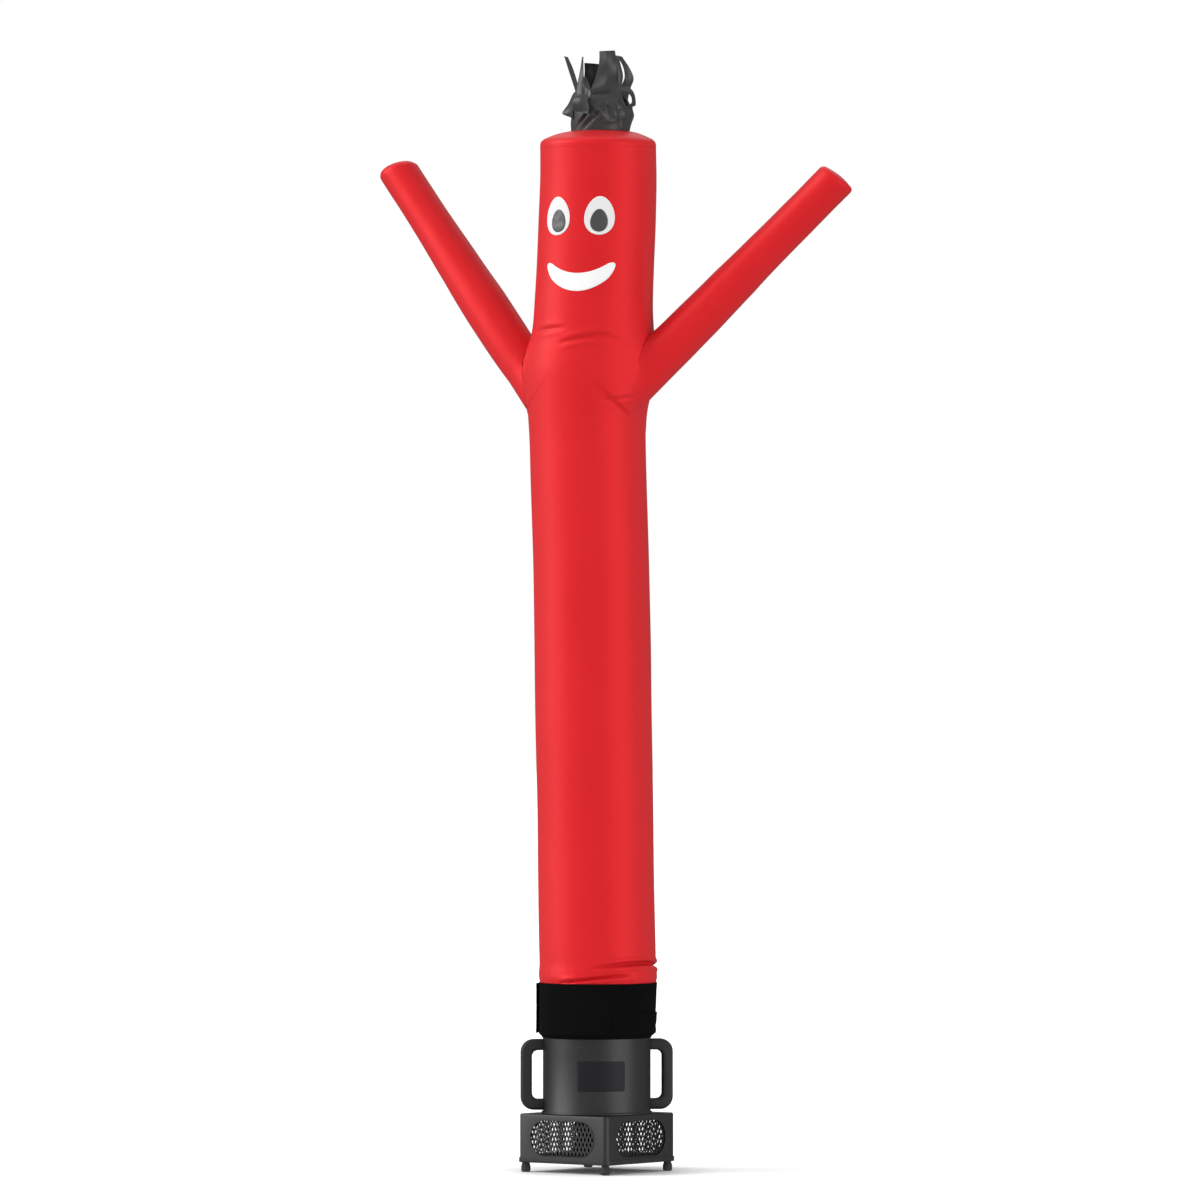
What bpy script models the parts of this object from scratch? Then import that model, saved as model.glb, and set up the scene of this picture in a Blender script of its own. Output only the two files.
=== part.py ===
# Inflatable air dancer standing on its blower, in metres with +Z up.
# The origin is on the blower's axis at floor level, and the face looks along -Y.
# Angles round the axis are in degrees from the face and grow towards +X.

import math
from collections import namedtuple

import bmesh
import bpy
import numpy as np
from mathutils import Matrix, Vector

GAP = 0.0003
SIDES = 24

# Cloth thicknesses
CLOTH = 0.002
PATCH = 0.0012
RIBBON = 0.0014
PATCH_LIFT = 0.0005
ARM_LIFT = 0.0007

# Body tube: a row for each place where its radius or its lean changes
TubeRow = namedtuple("TubeRow", "height lean radius")
TUBE_ROWS = (
    TubeRow(0.470, 0.002, 0.1630),
    TubeRow(0.530, 0.0035, 0.1652),
    TubeRow(0.543, 0.004, 0.1660),
    TubeRow(0.556, 0.004, 0.1687),
    TubeRow(0.572, 0.003, 0.1680),
    TubeRow(0.590, 0.003, 0.1668),
    TubeRow(0.634, 0.002, 0.1667),
    TubeRow(0.834, -0.002, 0.1659),
    TubeRow(1.063, -0.005, 0.1659),
    TubeRow(1.291, -0.010, 0.1667),
    TubeRow(1.520, -0.013, 0.1667),
    TubeRow(1.749, -0.0175, 0.1659),
    TubeRow(1.978, -0.025, 0.1665),
    TubeRow(2.092, -0.028, 0.1667),
    TubeRow(2.166, -0.030, 0.1685),
    TubeRow(2.230, -0.028, 0.1715),
    TubeRow(2.292, -0.025, 0.1740),
    TubeRow(2.340, -0.021, 0.1730),
    TubeRow(2.395, -0.013, 0.1716),
    TubeRow(2.475, -0.010, 0.1696),
    TubeRow(2.578, -0.005, 0.1682),
    TubeRow(2.716, 0.001, 0.1682),
    TubeRow(2.853, 0.005, 0.1667),
    TubeRow(2.925, 0.004, 0.1659),
)

# Zones of the tube that carry folds, and the height between rings there
FoldZone = namedtuple("FoldZone", "low high step")
FOLD_ZONES = (FoldZone(0.548, 0.612, 0.008), FoldZone(2.166, 2.430, 0.0176))

# Folds in the tube: a trough from one place on it to another
Fold = namedtuple("Fold", "angle_from angle_to height_from height_to lift depth width")
TUBE_FOLDS = (
    Fold(24, 118, 0.579, 0.585, 0.008, 0.008, 0.008),
    Fold(-4, 46, 0.541, 0.561, 0.004, 0.005, 0.007),
    Fold(-44, -8, 2.404, 2.415, 0.004, 0.008, 0.014),
    Fold(-20, 30, 2.372, 2.381, 0.016, 0.009, 0.014),
    Fold(38, 96, 2.204, 2.190, 0.012, 0.010, 0.014),
)

# Where the arms pull the tube outwards
Shoulder = namedtuple("Shoulder", "angle height pull spread_angle spread_height")
SHOULDERS = (Shoulder(-90, 2.300, 0.016, 34, 0.085), Shoulder(90, 2.310, 0.006, 30, 0.080))

# Head cap: a shallow dome with the ring that carries the hair
CapRow = namedtuple("CapRow", "height lean radius")
CAP_ROWS = (
    CapRow(2.9253, 0.0040, 0.1659),
    CapRow(2.9370, 0.0040, 0.1655),
    CapRow(2.9445, 0.0040, 0.1625),
    CapRow(2.9510, 0.0045, 0.1545),
    CapRow(2.9610, 0.0055, 0.1330),
    CapRow(2.9695, 0.0075, 0.1080),
    CapRow(2.9755, 0.0095, 0.0780),
)

# Arms: where the axis starts, how far it runs, and the radius along it
ARM_SIDES = 16
ARM_START = -0.080
ARM_LAND = 0.001
HOLE_REACH = 0.120
ArmRow = namedtuple("ArmRow", "along radius")
ARMS = {
    "arm_left": {
        "start": (-0.2130, 0.0, 2.2924),
        "reach": (-0.4590, 0.143, 0.597),
        "rows": (ArmRow(0.0, 0.0610), ArmRow(0.10, 0.0665), ArmRow(0.22, 0.0675), ArmRow(0.38, 0.0620),
                 ArmRow(0.56, 0.0560)),
        "tip_corner": 0.027,
        "tip_slant": 0.25,
    },
    "arm_right": {
        "start": (0.1514, 0.0, 2.2866),
        "reach": (0.5300, 0.143, 0.5540),
        "rows": (ArmRow(0.0, 0.0640), ArmRow(0.18, 0.0640), ArmRow(0.32, 0.0615), ArmRow(0.46, 0.0575),
                 ArmRow(0.62, 0.0560)),
        "tip_corner": 0.014,
        "tip_slant": -0.10,
    },
}
TIP_TURNS = (0, 35, 65, 86)

# Hair: a skirt that stands on the cap, cut into ribbons from its top
SkirtRow = namedtuple("SkirtRow", "height lean radius")
SKIRT_ROWS = (
    SkirtRow(2.9752, 0.0100, 0.0830),
    SkirtRow(2.9960, 0.0130, 0.0865),
    SkirtRow(3.0200, 0.0190, 0.0905),
    SkirtRow(3.0440, 0.0130, 0.0860),
)
RibbonRow = namedtuple("RibbonRow", "rise out along width turn")
RIBBONS = (
    (RibbonRow(35, -6, 3, 40, 0), RibbonRow(75, -16, 6, 36, -8), RibbonRow(112, -20, 9, 28, -14)),
    (RibbonRow(30, 0, -5, 43, 0), RibbonRow(60, -2, -11, 44, -8), RibbonRow(105, 2, -15, 45, -15),
     RibbonRow(158, 6, -18, 44, -20)),
    (RibbonRow(22, 8, -2, 36, 0), RibbonRow(44, 2, -10, 28, 20), RibbonRow(60, -12, -16, 22, 35)),
    (RibbonRow(12, 12, 0, 36, 12), RibbonRow(30, 15, 0, 32, 24), RibbonRow(50, 6, -2, 28, 28),
     RibbonRow(58, -8, -4, 22, 30)),
    (RibbonRow(30, 4, 2, 38, 0), RibbonRow(64, 13, -4, 34, 8), RibbonRow(96, 0, -8, 24, 16),
     RibbonRow(126, -14, -12, 14, 26)),
    (RibbonRow(40, 0, 0, 42, 0), RibbonRow(90, -4, -4, 40, 5), RibbonRow(146, -8, -8, 38, 8)),
    (RibbonRow(35, -4, 0, 40, 0), RibbonRow(72, -14, 3, 34, 0), RibbonRow(96, -24, 5, 26, 0)),
    (RibbonRow(40, 0, -4, 42, 0), RibbonRow(85, -2, -9, 42, 12), RibbonRow(122, -2, -12, 42, 20)),
    (RibbonRow(45, -2, 2, 38, 8), RibbonRow(95, 12, 0, 36, 12), RibbonRow(143, 32, -2, 34, 14)),
    (RibbonRow(26, -8, 0, 38, 0), RibbonRow(39, -12, 0, 35, -5), RibbonRow(42, -6, 0, 33, -12),
     RibbonRow(18, 9, 0, 30, -26), RibbonRow(-20, 22, 0, 20, -44)),
    (RibbonRow(40, -10, 0, 34, -8), RibbonRow(80, -18, 0, 22, -18), RibbonRow(140, -29, 0, 6, -24)),
    (RibbonRow(20, 1, -1, 41, 0), RibbonRow(30, 6, -2, 41, 0), RibbonRow(27, 15, -3, 40, 0),
     RibbonRow(-4, 23, -4, 38, 0)),
)

# Face patches, sewn onto the tube
EYE_ANGLE = 22.4
EYE_HEIGHT = 2.720
EYE_HALF_WIDTH = 0.0435
EYE_HALF_HEIGHT = 0.056
PUPIL_DROP = 0.014
PUPIL_HALF_WIDTH = 0.025
PUPIL_HALF_HEIGHT = 0.0325
EGG_NARROWING = 0.16
OVAL_POINTS = 20
OVAL_RINGS = (0.34, 0.68, 1.0)
MOUTH_HALF_ANGLE = 38.5
MOUTH_TIP = 2.599
MOUTH_UPPER = 2.566
MOUTH_LOWER = 2.5095
MOUTH_END = 0.011
MOUTH_ROUNDING = 14
MOUTH_BLUNT = 0.18
MOUTH_COLUMNS = 19
MOUTH_BANDS = 3

# Collar: the cuff of strong cloth that grips the drum
CollarRow = namedtuple("CollarRow", "height lean radius")
COLLAR_ROWS = (
    CollarRow(0.3835, 0.000, 0.15635),
    CollarRow(0.3870, 0.000, 0.15635),
    CollarRow(0.3945, 0.000, 0.1652),
    CollarRow(0.4600, 0.002, 0.1670),
    CollarRow(0.5200, 0.0035, 0.1682),
    CollarRow(0.5410, 0.004, 0.1686),
)
BandColumn = namedtuple("BandColumn", "angle lift")
FLAP_COLUMNS = (
    BandColumn(-118, 0.0),
    BandColumn(-90, 0.001),
    BandColumn(-78, 0.0035),
    BandColumn(-66, 0.0065),
)
FLAP_HEIGHTS = (0.396, 0.460, 0.538)
STRAP_COLUMNS = (
    BandColumn(35, 0.0),
    BandColumn(75, 0.0005),
    BandColumn(105, 0.002),
    BandColumn(128, 0.0),
)
STRAP_HEIGHTS = (0.397, 0.4265, 0.456)

# Blower
BLOWER_TURN = -18
DRUM_RADIUS = 0.154
DRUM_WALL = 0.003
DRUM_TOP = 0.500
FLANGE_PROUD = 0.004
FLANGE_HEIGHT = 0.006
BOX_SIDE = 0.320
BOX_TOP = 0.167
BOX_WALL = 0.003
BOX_CORNER = 0.014
TRAY_LOW, TRAY_HIGH = 0.028, 0.042
TRAY_WALL = 0.0027
WINDOW_LENGTH = 0.230
WINDOW_HEIGHT = 0.101
WINDOW_CENTRE = 0.099
GRILLE_LAP = 0.007
GRILLE_WALL = 0.002
DIAMOND_PITCH_WIDE = 0.0285
DIAMOND_PITCH_TALL = 0.046
DIAMOND_SHARE = 0.80
FOOT_RING = 0.204
FOOT_SIDES = 12
FootRow = namedtuple("FootRow", "radius height")
FOOT_ROWS = (
    FootRow(0.0, 0.0),
    FootRow(0.0105, 0.0),
    FootRow(0.0135, 0.005),
    FootRow(0.0135, 0.018),
    FootRow(0.0110, TRAY_LOW - GAP),
    FootRow(0.0, TRAY_LOW - GAP),
)
HANDLE_ANGLES = (-63, 117)
HANDLE_SUNK = 0.014
HANDLE_LOW, HANDLE_HIGH = 0.1770, 0.3795
HANDLE_REACH = 0.065
HANDLE_BAR = 0.032
HANDLE_DEPTH = 0.028
HANDLE_CORNER = 0.037
HANDLE_INNER_CORNER = 0.017
HANDLE_EDGE = 0.006
LABEL_ANGLE = 24.9
LABEL_HALF_ANGLE = 26.2
LABEL_LOW, LABEL_HIGH = 0.235, 0.321
LABEL_THICK = 0.001
GLAND_RADIUS = 0.009
GLAND_LENGTH = 0.018
GLAND_PLACE = (-0.132, 0.062)


def clear_scene():
    for item in list(bpy.data.objects):
        bpy.data.objects.remove(item, do_unlink=True)


def make_material(name, colour, roughness, metallic=0.0):
    material = bpy.data.materials.new(name)
    material.use_nodes = True
    shader = material.node_tree.nodes["Principled BSDF"]
    shader.inputs["Base Color"].default_value = (*colour, 1.0)
    shader.inputs["Roughness"].default_value = roughness
    shader.inputs["Metallic"].default_value = metallic
    return material


def add_object(name, mesh, material, parent=None):
    item = bpy.data.objects.new(name, mesh)
    bpy.context.scene.collection.objects.link(item)
    if material is not None:
        mesh.materials.append(material)
    item.parent = parent
    return item


def finish_mesh(name, bm, flat=False):
    bmesh.ops.recalc_face_normals(bm, faces=bm.faces)
    mesh = bpy.data.meshes.new(name)
    bm.to_mesh(mesh)
    bm.free()
    if not flat:
        mesh.shade_smooth()
        mesh.set_sharp_from_angle(angle=math.radians(35))
    return mesh


def thicken(item, thickness, even=True):
    shell = item.modifiers.new("Wall", "SOLIDIFY")
    shell.thickness = thickness
    shell.offset = -1.0
    shell.use_even_offset = even


def cut(item, cutter):
    cutter.hide_render = True
    cutter.display_type = "WIRE"
    step = item.modifiers.new("Cut " + cutter.name, "BOOLEAN")
    step.operation = "DIFFERENCE"
    step.solver = "EXACT"
    step.object = cutter


def bake(item):
    # The evaluated shape as a mesh of its own, so that copies can share it.
    graph = bpy.context.evaluated_depsgraph_get()
    return bpy.data.meshes.new_from_object(item.evaluated_get(graph))


def around(angle, radius, height, lean=0.0):
    turn = math.radians(angle)
    return Vector((lean + radius * math.sin(turn), -radius * math.cos(turn), height))


def ring_angles(sides=SIDES):
    return [360.0 * step / sides for step in range(sides)]


def wrap(angle):
    return (angle + 180.0) % 360.0 - 180.0


def read_rows(rows, height, column):
    heights = [row.height for row in rows]
    values = [getattr(row, column) for row in rows]
    return float(np.interp(height, heights, values))


def loft(rings, close_first=False, close_last=False):
    # Rings of points joined one to the next, with a flat face on a closed end.
    bm = bmesh.new()
    loops = []
    for ring in rings:
        points = [bm.verts.new(point) for point in ring]
        count = len(points)
        loops.append([bm.edges.new((points[i], points[(i + 1) % count])) for i in range(count)])
    for low, high in zip(loops, loops[1:]):
        bmesh.ops.bridge_loops(bm, edges=low + high)
    if close_first:
        bmesh.ops.holes_fill(bm, edges=loops[0], sides=0)
    if close_last:
        bmesh.ops.holes_fill(bm, edges=loops[-1], sides=0)
    return bm


def sheet_grid(rows_of_points):
    # An open sheet of quads through rows of points.
    bm = bmesh.new()
    rows = [[bm.verts.new(point) for point in row] for row in rows_of_points]
    for low, high in zip(rows, rows[1:]):
        for i in range(len(low) - 1):
            bm.faces.new((low[i], low[i + 1], high[i + 1], high[i]))
    return bm


def fold_depth(angle, height):
    total = 0.0
    for fold in TUBE_FOLDS:
        span = fold.angle_to - fold.angle_from
        share = wrap(angle - fold.angle_from) / span
        if 0.0 <= share <= 1.0:
            middle = fold.height_from + (fold.height_to - fold.height_from) * share
            middle += fold.lift * 4.0 * share * (1.0 - share)
            fade = math.sin(math.pi * (0.12 + 0.76 * share))
            total += fold.depth * fade * math.exp(-(((height - middle) / fold.width) ** 2))
    return total


def shoulder_pull(angle, height):
    total = 0.0
    for shoulder in SHOULDERS:
        side = wrap(angle - shoulder.angle) / shoulder.spread_angle
        rise = (height - shoulder.height) / shoulder.spread_height
        total += shoulder.pull * math.exp(-(side * side) - (rise * rise))
    return total


def tube_point(angle, height, offset=0.0):
    radius = read_rows(TUBE_ROWS, height, "radius") + offset
    radius += shoulder_pull(angle, height) - fold_depth(angle, height)
    return around(angle, radius, height, read_rows(TUBE_ROWS, height, "lean"))


def tube_heights():
    heights = [row.height for row in TUBE_ROWS]
    for zone in FOLD_ZONES:
        heights = [height for height in heights if not zone.low < height < zone.high]
        heights += list(np.arange(zone.low, zone.high, zone.step))
    return sorted(set(round(float(height), 5) for height in heights))


def tube_rings(offset=0.0):
    return [[tube_point(angle, height, offset) for angle in ring_angles()] for height in tube_heights()]


def row_rings(rows):
    return [[around(angle, row.radius, row.height, row.lean) for angle in ring_angles()] for row in rows]


def arm_axes(arm):
    direction = Vector(arm["reach"]).normalized()
    side = direction.cross(Vector((0.0, 1.0, 0.0))).normalized()
    return direction, side, side.cross(direction)


def arm_ring(arm, along, radius, slant=0.0):
    direction, side, depth = arm_axes(arm)
    centre = Vector(arm["start"]) + direction * along
    points = []
    for angle in ring_angles(ARM_SIDES):
        across = radius * math.cos(math.radians(angle))
        back = radius * math.sin(math.radians(angle))
        points.append(centre + (side + direction * slant) * across + depth * back)
    return points


def arm_radius(arm, along):
    return float(np.interp(along, [row.along for row in arm["rows"]], [row.radius for row in arm["rows"]]))


def build_arm(name, arm, body_fill, body, material):
    length = Vector(arm["reach"]).length
    corner = arm["tip_corner"]
    rings = [arm_ring(arm, ARM_START, arm_radius(arm, 0.0))]
    rings += [arm_ring(arm, row.along, row.radius) for row in arm["rows"]]
    full = arm_radius(arm, length)
    for turn in TIP_TURNS:
        along = length - corner * (1.0 - math.sin(math.radians(turn)))
        radius = full - corner * (1.0 - math.cos(math.radians(turn)))
        rings.append(arm_ring(arm, along, radius, arm["tip_slant"]))
    item = add_object(name, finish_mesh(name, loft(rings, close_last=True)), material)
    thicken(item, CLOTH)
    cut(item, body_fill)
    hole_radius = arm_radius(arm, 0.0) - CLOTH - ARM_LAND
    hole_rings = [arm_ring(arm, along, hole_radius) for along in (ARM_START, HOLE_REACH)]
    hole = add_object(name + "_hole", finish_mesh(name + "_hole", loft(hole_rings, True, True)), None)
    cut(body, hole)


def build_body(material):
    fill = add_object("tube_fill", finish_mesh("tube_fill", loft(tube_rings(ARM_LIFT), True, True)), None)
    body = add_object("body_tube", finish_mesh("body_tube", loft(tube_rings())), material)
    thicken(body, CLOTH)
    for name, arm in ARMS.items():
        build_arm(name, arm, fill, body, material)
    cap = add_object("head_cap", finish_mesh("head_cap", loft(row_rings(CAP_ROWS))), material)
    thicken(cap, CLOTH)


def build_hair(material):
    bm = loft(row_rings(SKIRT_ROWS))
    bm.verts.ensure_lookup_table()
    top = list(bm.verts)[-SIDES:]
    lean, radius, height = SKIRT_ROWS[-1].lean, SKIRT_ROWS[-1].radius, SKIRT_ROWS[-1].height
    columns = SIDES // len(RIBBONS)
    for place, rows in enumerate(RIBBONS):
        first = place * columns
        low = [top[(first + i) % SIDES] for i in range(columns + 1)]
        angle = 360.0 * (first + columns / 2) / SIDES
        out = around(angle, 1.0, 0.0)
        along = around(angle + 90.0, 1.0, 0.0)
        root = around(angle, radius * math.cos(math.pi / SIDES), height, lean)
        for row in rows:
            centre = root + (out * row.out + along * row.along) / 1000.0
            centre.z += row.rise / 1000.0
            across = around(angle + 90.0 + row.turn, 1.0, 0.0) * (row.width / 2000.0)
            high = [bm.verts.new(centre + across * share) for share in np.linspace(-1.0, 1.0, columns + 1)]
            for i in range(columns):
                bm.faces.new((low[i], low[i + 1], high[i + 1], high[i]))
            low = high
    item = add_object("hair", finish_mesh("hair", bm), material)
    thicken(item, RIBBON, even=False)


def on_tube(angle, sideways, height, lift):
    radius = read_rows(TUBE_ROWS, height, "radius")
    return tube_point(angle + math.degrees(sideways / radius), height, lift)


def build_oval(name, angle, height, half_width, half_height, lift, material):
    bm = bmesh.new()
    middle = bm.verts.new(on_tube(angle, 0.0, height, lift))
    previous = None
    for share in OVAL_RINGS:
        ring = []
        for turn in ring_angles(OVAL_POINTS):
            rise = math.sin(math.radians(turn))
            narrowing = 1.0 - EGG_NARROWING * rise
            side = half_width * share * math.cos(math.radians(turn)) * narrowing
            ring.append(bm.verts.new(on_tube(angle, side, height + half_height * share * rise, lift)))
        for i in range(OVAL_POINTS):
            j = (i + 1) % OVAL_POINTS
            if previous is None:
                bm.faces.new((middle, ring[i], ring[j]))
            else:
                bm.faces.new((previous[i], ring[i], ring[j], previous[j]))
        previous = ring
    item = add_object(name, finish_mesh(name, bm), material)
    thicken(item, -PATCH)


def build_mouth(material):
    # Two parabolas with a common pair of rounded ends.
    half_end = MOUTH_END / 2
    rows = []
    for share in np.linspace(-1.0, 1.0, MOUTH_COLUMNS):
        swing = 1.0 - share * share
        end = half_end * max(MOUTH_BLUNT, math.sqrt(1.0 - abs(share) ** MOUTH_ROUNDING))
        upper = MOUTH_TIP + end - (MOUTH_TIP + half_end - MOUTH_UPPER) * swing
        lower = MOUTH_TIP - end - (MOUTH_TIP - half_end - MOUTH_LOWER) * swing
        step = (upper - lower) / MOUTH_BANDS
        angle = MOUTH_HALF_ANGLE * float(share)
        rows.append([tube_point(angle, lower + step * k, PATCH_LIFT) for k in range(MOUTH_BANDS + 1)])
    item = add_object("mouth", finish_mesh("mouth", sheet_grid(rows)), material)
    thicken(item, -PATCH)


def build_face(white, black):
    lift = PATCH_LIFT + PATCH + GAP
    height = EYE_HEIGHT - PUPIL_DROP
    for name, angle in (("left", -EYE_ANGLE), ("right", EYE_ANGLE)):
        build_oval("eye_" + name, angle, EYE_HEIGHT, EYE_HALF_WIDTH, EYE_HALF_HEIGHT, PATCH_LIFT, white)
        build_oval("pupil_" + name, angle, height, PUPIL_HALF_WIDTH, PUPIL_HALF_HEIGHT, lift, black)
    build_mouth(white)


def band_rows(columns, heights):
    # Columns of points that lie on the collar, also at its own corners.
    ends = [column.angle for column in columns]
    lifts = [column.lift for column in columns]
    corners = [wrap(angle) for angle in ring_angles() if ends[0] < wrap(angle) < ends[-1]]
    rows = []
    for angle in sorted(set(ends + corners)):
        lift = GAP + float(np.interp(angle, ends, lifts))
        points = []
        for height in heights:
            radius = read_rows(COLLAR_ROWS, height, "radius") + lift
            points.append(around(angle, radius, height, read_rows(COLLAR_ROWS, height, "lean")))
        rows.append(points)
    return rows


def build_collar(material):
    collar = add_object("collar", finish_mesh("collar", loft(row_rings(COLLAR_ROWS))), material)
    thicken(collar, CLOTH)
    bands = (("collar_flap", FLAP_COLUMNS, FLAP_HEIGHTS), ("strap_tail", STRAP_COLUMNS, STRAP_HEIGHTS))
    for name, columns, heights in bands:
        band = add_object(name, finish_mesh(name, sheet_grid(band_rows(columns, heights))), material)
        thicken(band, -PATCH)


def turned(profile, sides=SIDES):
    # A closed ring turned from a closed profile of radius and height.
    bm = bmesh.new()
    points = [bm.verts.new(around(0.0, radius, height)) for radius, height in profile]
    face = bm.faces.new(points)
    bmesh.ops.delete(bm, geom=[face], context="FACES_ONLY")
    bmesh.ops.spin(bm, geom=bm.verts[:] + bm.edges[:], cent=(0, 0, 0), axis=(0, 0, 1), dvec=(0, 0, 0),
                   angle=2.0 * math.pi, steps=sides, use_merge=True)
    return bm


def rounded_block(side, low, high, corner, steps=3):
    bm = bmesh.new()
    bmesh.ops.create_cube(bm, size=1.0)
    bmesh.ops.scale(bm, vec=(side, side, high - low), verts=bm.verts)
    bmesh.ops.translate(bm, vec=(0, 0, (low + high) / 2), verts=bm.verts)
    upright = [edge for edge in bm.edges if abs(edge.verts[0].co.z - edge.verts[1].co.z) > 1e-6]
    bmesh.ops.bevel(bm, geom=upright, offset=corner, segments=steps, profile=0.5, affect="EDGES")
    return bm


def open_face(bm, facing):
    faces = [face for face in bm.faces if face.normal.z * facing > 0.9]
    bmesh.ops.delete(bm, geom=faces, context="FACES")


def arc(across, up, radius, start, end, steps):
    turns = [math.radians(start + (end - start) * i / steps) for i in range(steps + 1)]
    return [(across + radius * math.cos(turn), up + radius * math.sin(turn)) for turn in turns]


def stadium(length, height, steps=7):
    # Points of a long round-ended slot, across and up from its middle.
    radius = height / 2
    reach = length / 2 - radius
    return arc(reach, 0.0, radius, -90, 90, steps) + arc(-reach, 0.0, radius, 90, 270, steps)


def prism(outline, near, far):
    # An outline across X and Z, carried along Y.
    bm = bmesh.new()
    face = bm.faces.new([bm.verts.new((x, near, z)) for x, z in outline])
    moved = bmesh.ops.extrude_face_region(bm, geom=[face])["geom"]
    points = [piece for piece in moved if isinstance(piece, bmesh.types.BMVert)]
    bmesh.ops.translate(bm, vec=(0, far - near, 0), verts=points)
    return bm


def build_drum(material):
    inner = DRUM_RADIUS - DRUM_WALL
    flange = DRUM_RADIUS + FLANGE_PROUD
    low = BOX_TOP + GAP
    profile = (
        (inner, low),
        (flange, low),
        (flange, low + FLANGE_HEIGHT),
        (DRUM_RADIUS, low + FLANGE_HEIGHT + FLANGE_PROUD / 2),
        (DRUM_RADIUS, DRUM_TOP),
        (inner, DRUM_TOP),
    )
    add_object("drum", finish_mesh("drum", turned(profile)), material)


def build_label(material):
    corners = [angle for angle in ring_angles() if abs(angle - LABEL_ANGLE) < LABEL_HALF_ANGLE]
    ends = [LABEL_ANGLE - LABEL_HALF_ANGLE, LABEL_ANGLE + LABEL_HALF_ANGLE]
    angles = sorted(set(corners + ends))
    radius = DRUM_RADIUS + GAP
    rows = [[around(angle, radius, height) for height in (LABEL_LOW, LABEL_HIGH)] for angle in angles]
    item = add_object("label_plate", finish_mesh("label_plate", sheet_grid(rows)), material)
    thicken(item, -LABEL_THICK)


def handle_outline():
    # Across and up, out along the lower bar and back inside the grip.
    root = DRUM_RADIUS - HANDLE_SUNK
    outer = DRUM_RADIUS + HANDLE_REACH - HANDLE_CORNER
    inner = DRUM_RADIUS + HANDLE_REACH - HANDLE_BAR - HANDLE_INNER_CORNER
    grip_low = HANDLE_LOW + HANDLE_BAR
    grip_high = HANDLE_HIGH - HANDLE_BAR
    points = [(root, HANDLE_LOW)]
    points += arc(outer, HANDLE_LOW + HANDLE_CORNER, HANDLE_CORNER, -90, 0, 4)
    points += arc(outer, HANDLE_HIGH - HANDLE_CORNER, HANDLE_CORNER, 0, 90, 4)
    points += [(root, HANDLE_HIGH), (root, grip_high)]
    points += arc(inner, grip_high - HANDLE_INNER_CORNER, HANDLE_INNER_CORNER, 90, 0, 3)
    points += arc(inner, grip_low + HANDLE_INNER_CORNER, HANDLE_INNER_CORNER, 0, -90, 3)
    points.append((root, grip_low))
    return points


def build_handles(material):
    seat = DRUM_RADIUS + GAP
    heights = (BOX_TOP / 2, DRUM_TOP)
    rings = [[around(angle, seat, height) for angle in ring_angles()] for height in heights]
    seat_cut = add_object("drum_seat", finish_mesh("drum_seat", loft(rings, True, True)), None)
    for name, angle in zip(("handle_left", "handle_right"), HANDLE_ANGLES):
        bm = prism(handle_outline(), -HANDLE_DEPTH / 2, HANDLE_DEPTH / 2)
        rims = [edge for edge in bm.edges if abs(edge.verts[0].co.y - edge.verts[1].co.y) < 1e-6]
        bmesh.ops.bevel(bm, geom=rims, offset=HANDLE_EDGE, segments=2, profile=0.5, affect="EDGES")
        item = add_object(name, finish_mesh(name, bm), material)
        item.rotation_euler.z = math.radians(angle - 90.0)
        cut(item, seat_cut)


def build_box(frame, material):
    low = TRAY_LOW + TRAY_WALL + GAP
    bm = rounded_block(BOX_SIDE, low, BOX_TOP, BOX_CORNER)
    open_face(bm, -1)
    box = add_object("base_box", finish_mesh("base_box", bm), material, frame)
    thicken(box, BOX_WALL)
    bore = DRUM_RADIUS - DRUM_WALL
    heights = (BOX_TOP * 0.9, BOX_TOP * 1.1)
    rings = [[around(angle, bore, height) for angle in ring_angles()] for height in heights]
    bore_cut = add_object("box_bore", finish_mesh("box_bore", loft(rings, True, True)), None)
    cut(box, bore_cut)
    outline = [(x, z + WINDOW_CENTRE) for x, z in stadium(WINDOW_LENGTH, WINDOW_HEIGHT)]
    for turn in (0, 90):
        name = "window_cut_" + str(turn)
        window = add_object(name, finish_mesh(name, prism(outline, -BOX_SIDE, BOX_SIDE)), None, frame)
        window.rotation_euler.z = math.radians(turn)
        cut(box, window)
    side = BOX_SIDE + 2 * (GAP + TRAY_WALL)
    bm = rounded_block(side, TRAY_LOW, TRAY_HIGH, BOX_CORNER + GAP + TRAY_WALL)
    open_face(bm, 1)
    tray = add_object("base_tray", finish_mesh("base_tray", bm), material, frame)
    thicken(tray, TRAY_WALL)


def diamond_places():
    # Staggered diamonds that lie wholly inside the grille's round-ended outline.
    half_wide = DIAMOND_PITCH_WIDE / 2 * DIAMOND_SHARE
    half_tall = DIAMOND_PITCH_TALL / 2 * DIAMOND_SHARE
    radius = WINDOW_HEIGHT / 2
    reach = WINDOW_LENGTH / 2 - radius
    places = []
    for row in range(-4, 5):
        for column in range(-5, 6):
            x = (column + (row % 2) / 2) * DIAMOND_PITCH_WIDE
            z = row * DIAMOND_PITCH_TALL / 2
            corners = ((x + half_wide, z), (x - half_wide, z), (x, z + half_tall), (x, z - half_tall))
            if all(math.hypot(max(0.0, abs(a) - reach), b) < radius for a, b in corners):
                places.append((x, z, half_wide, half_tall))
    return places


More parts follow.
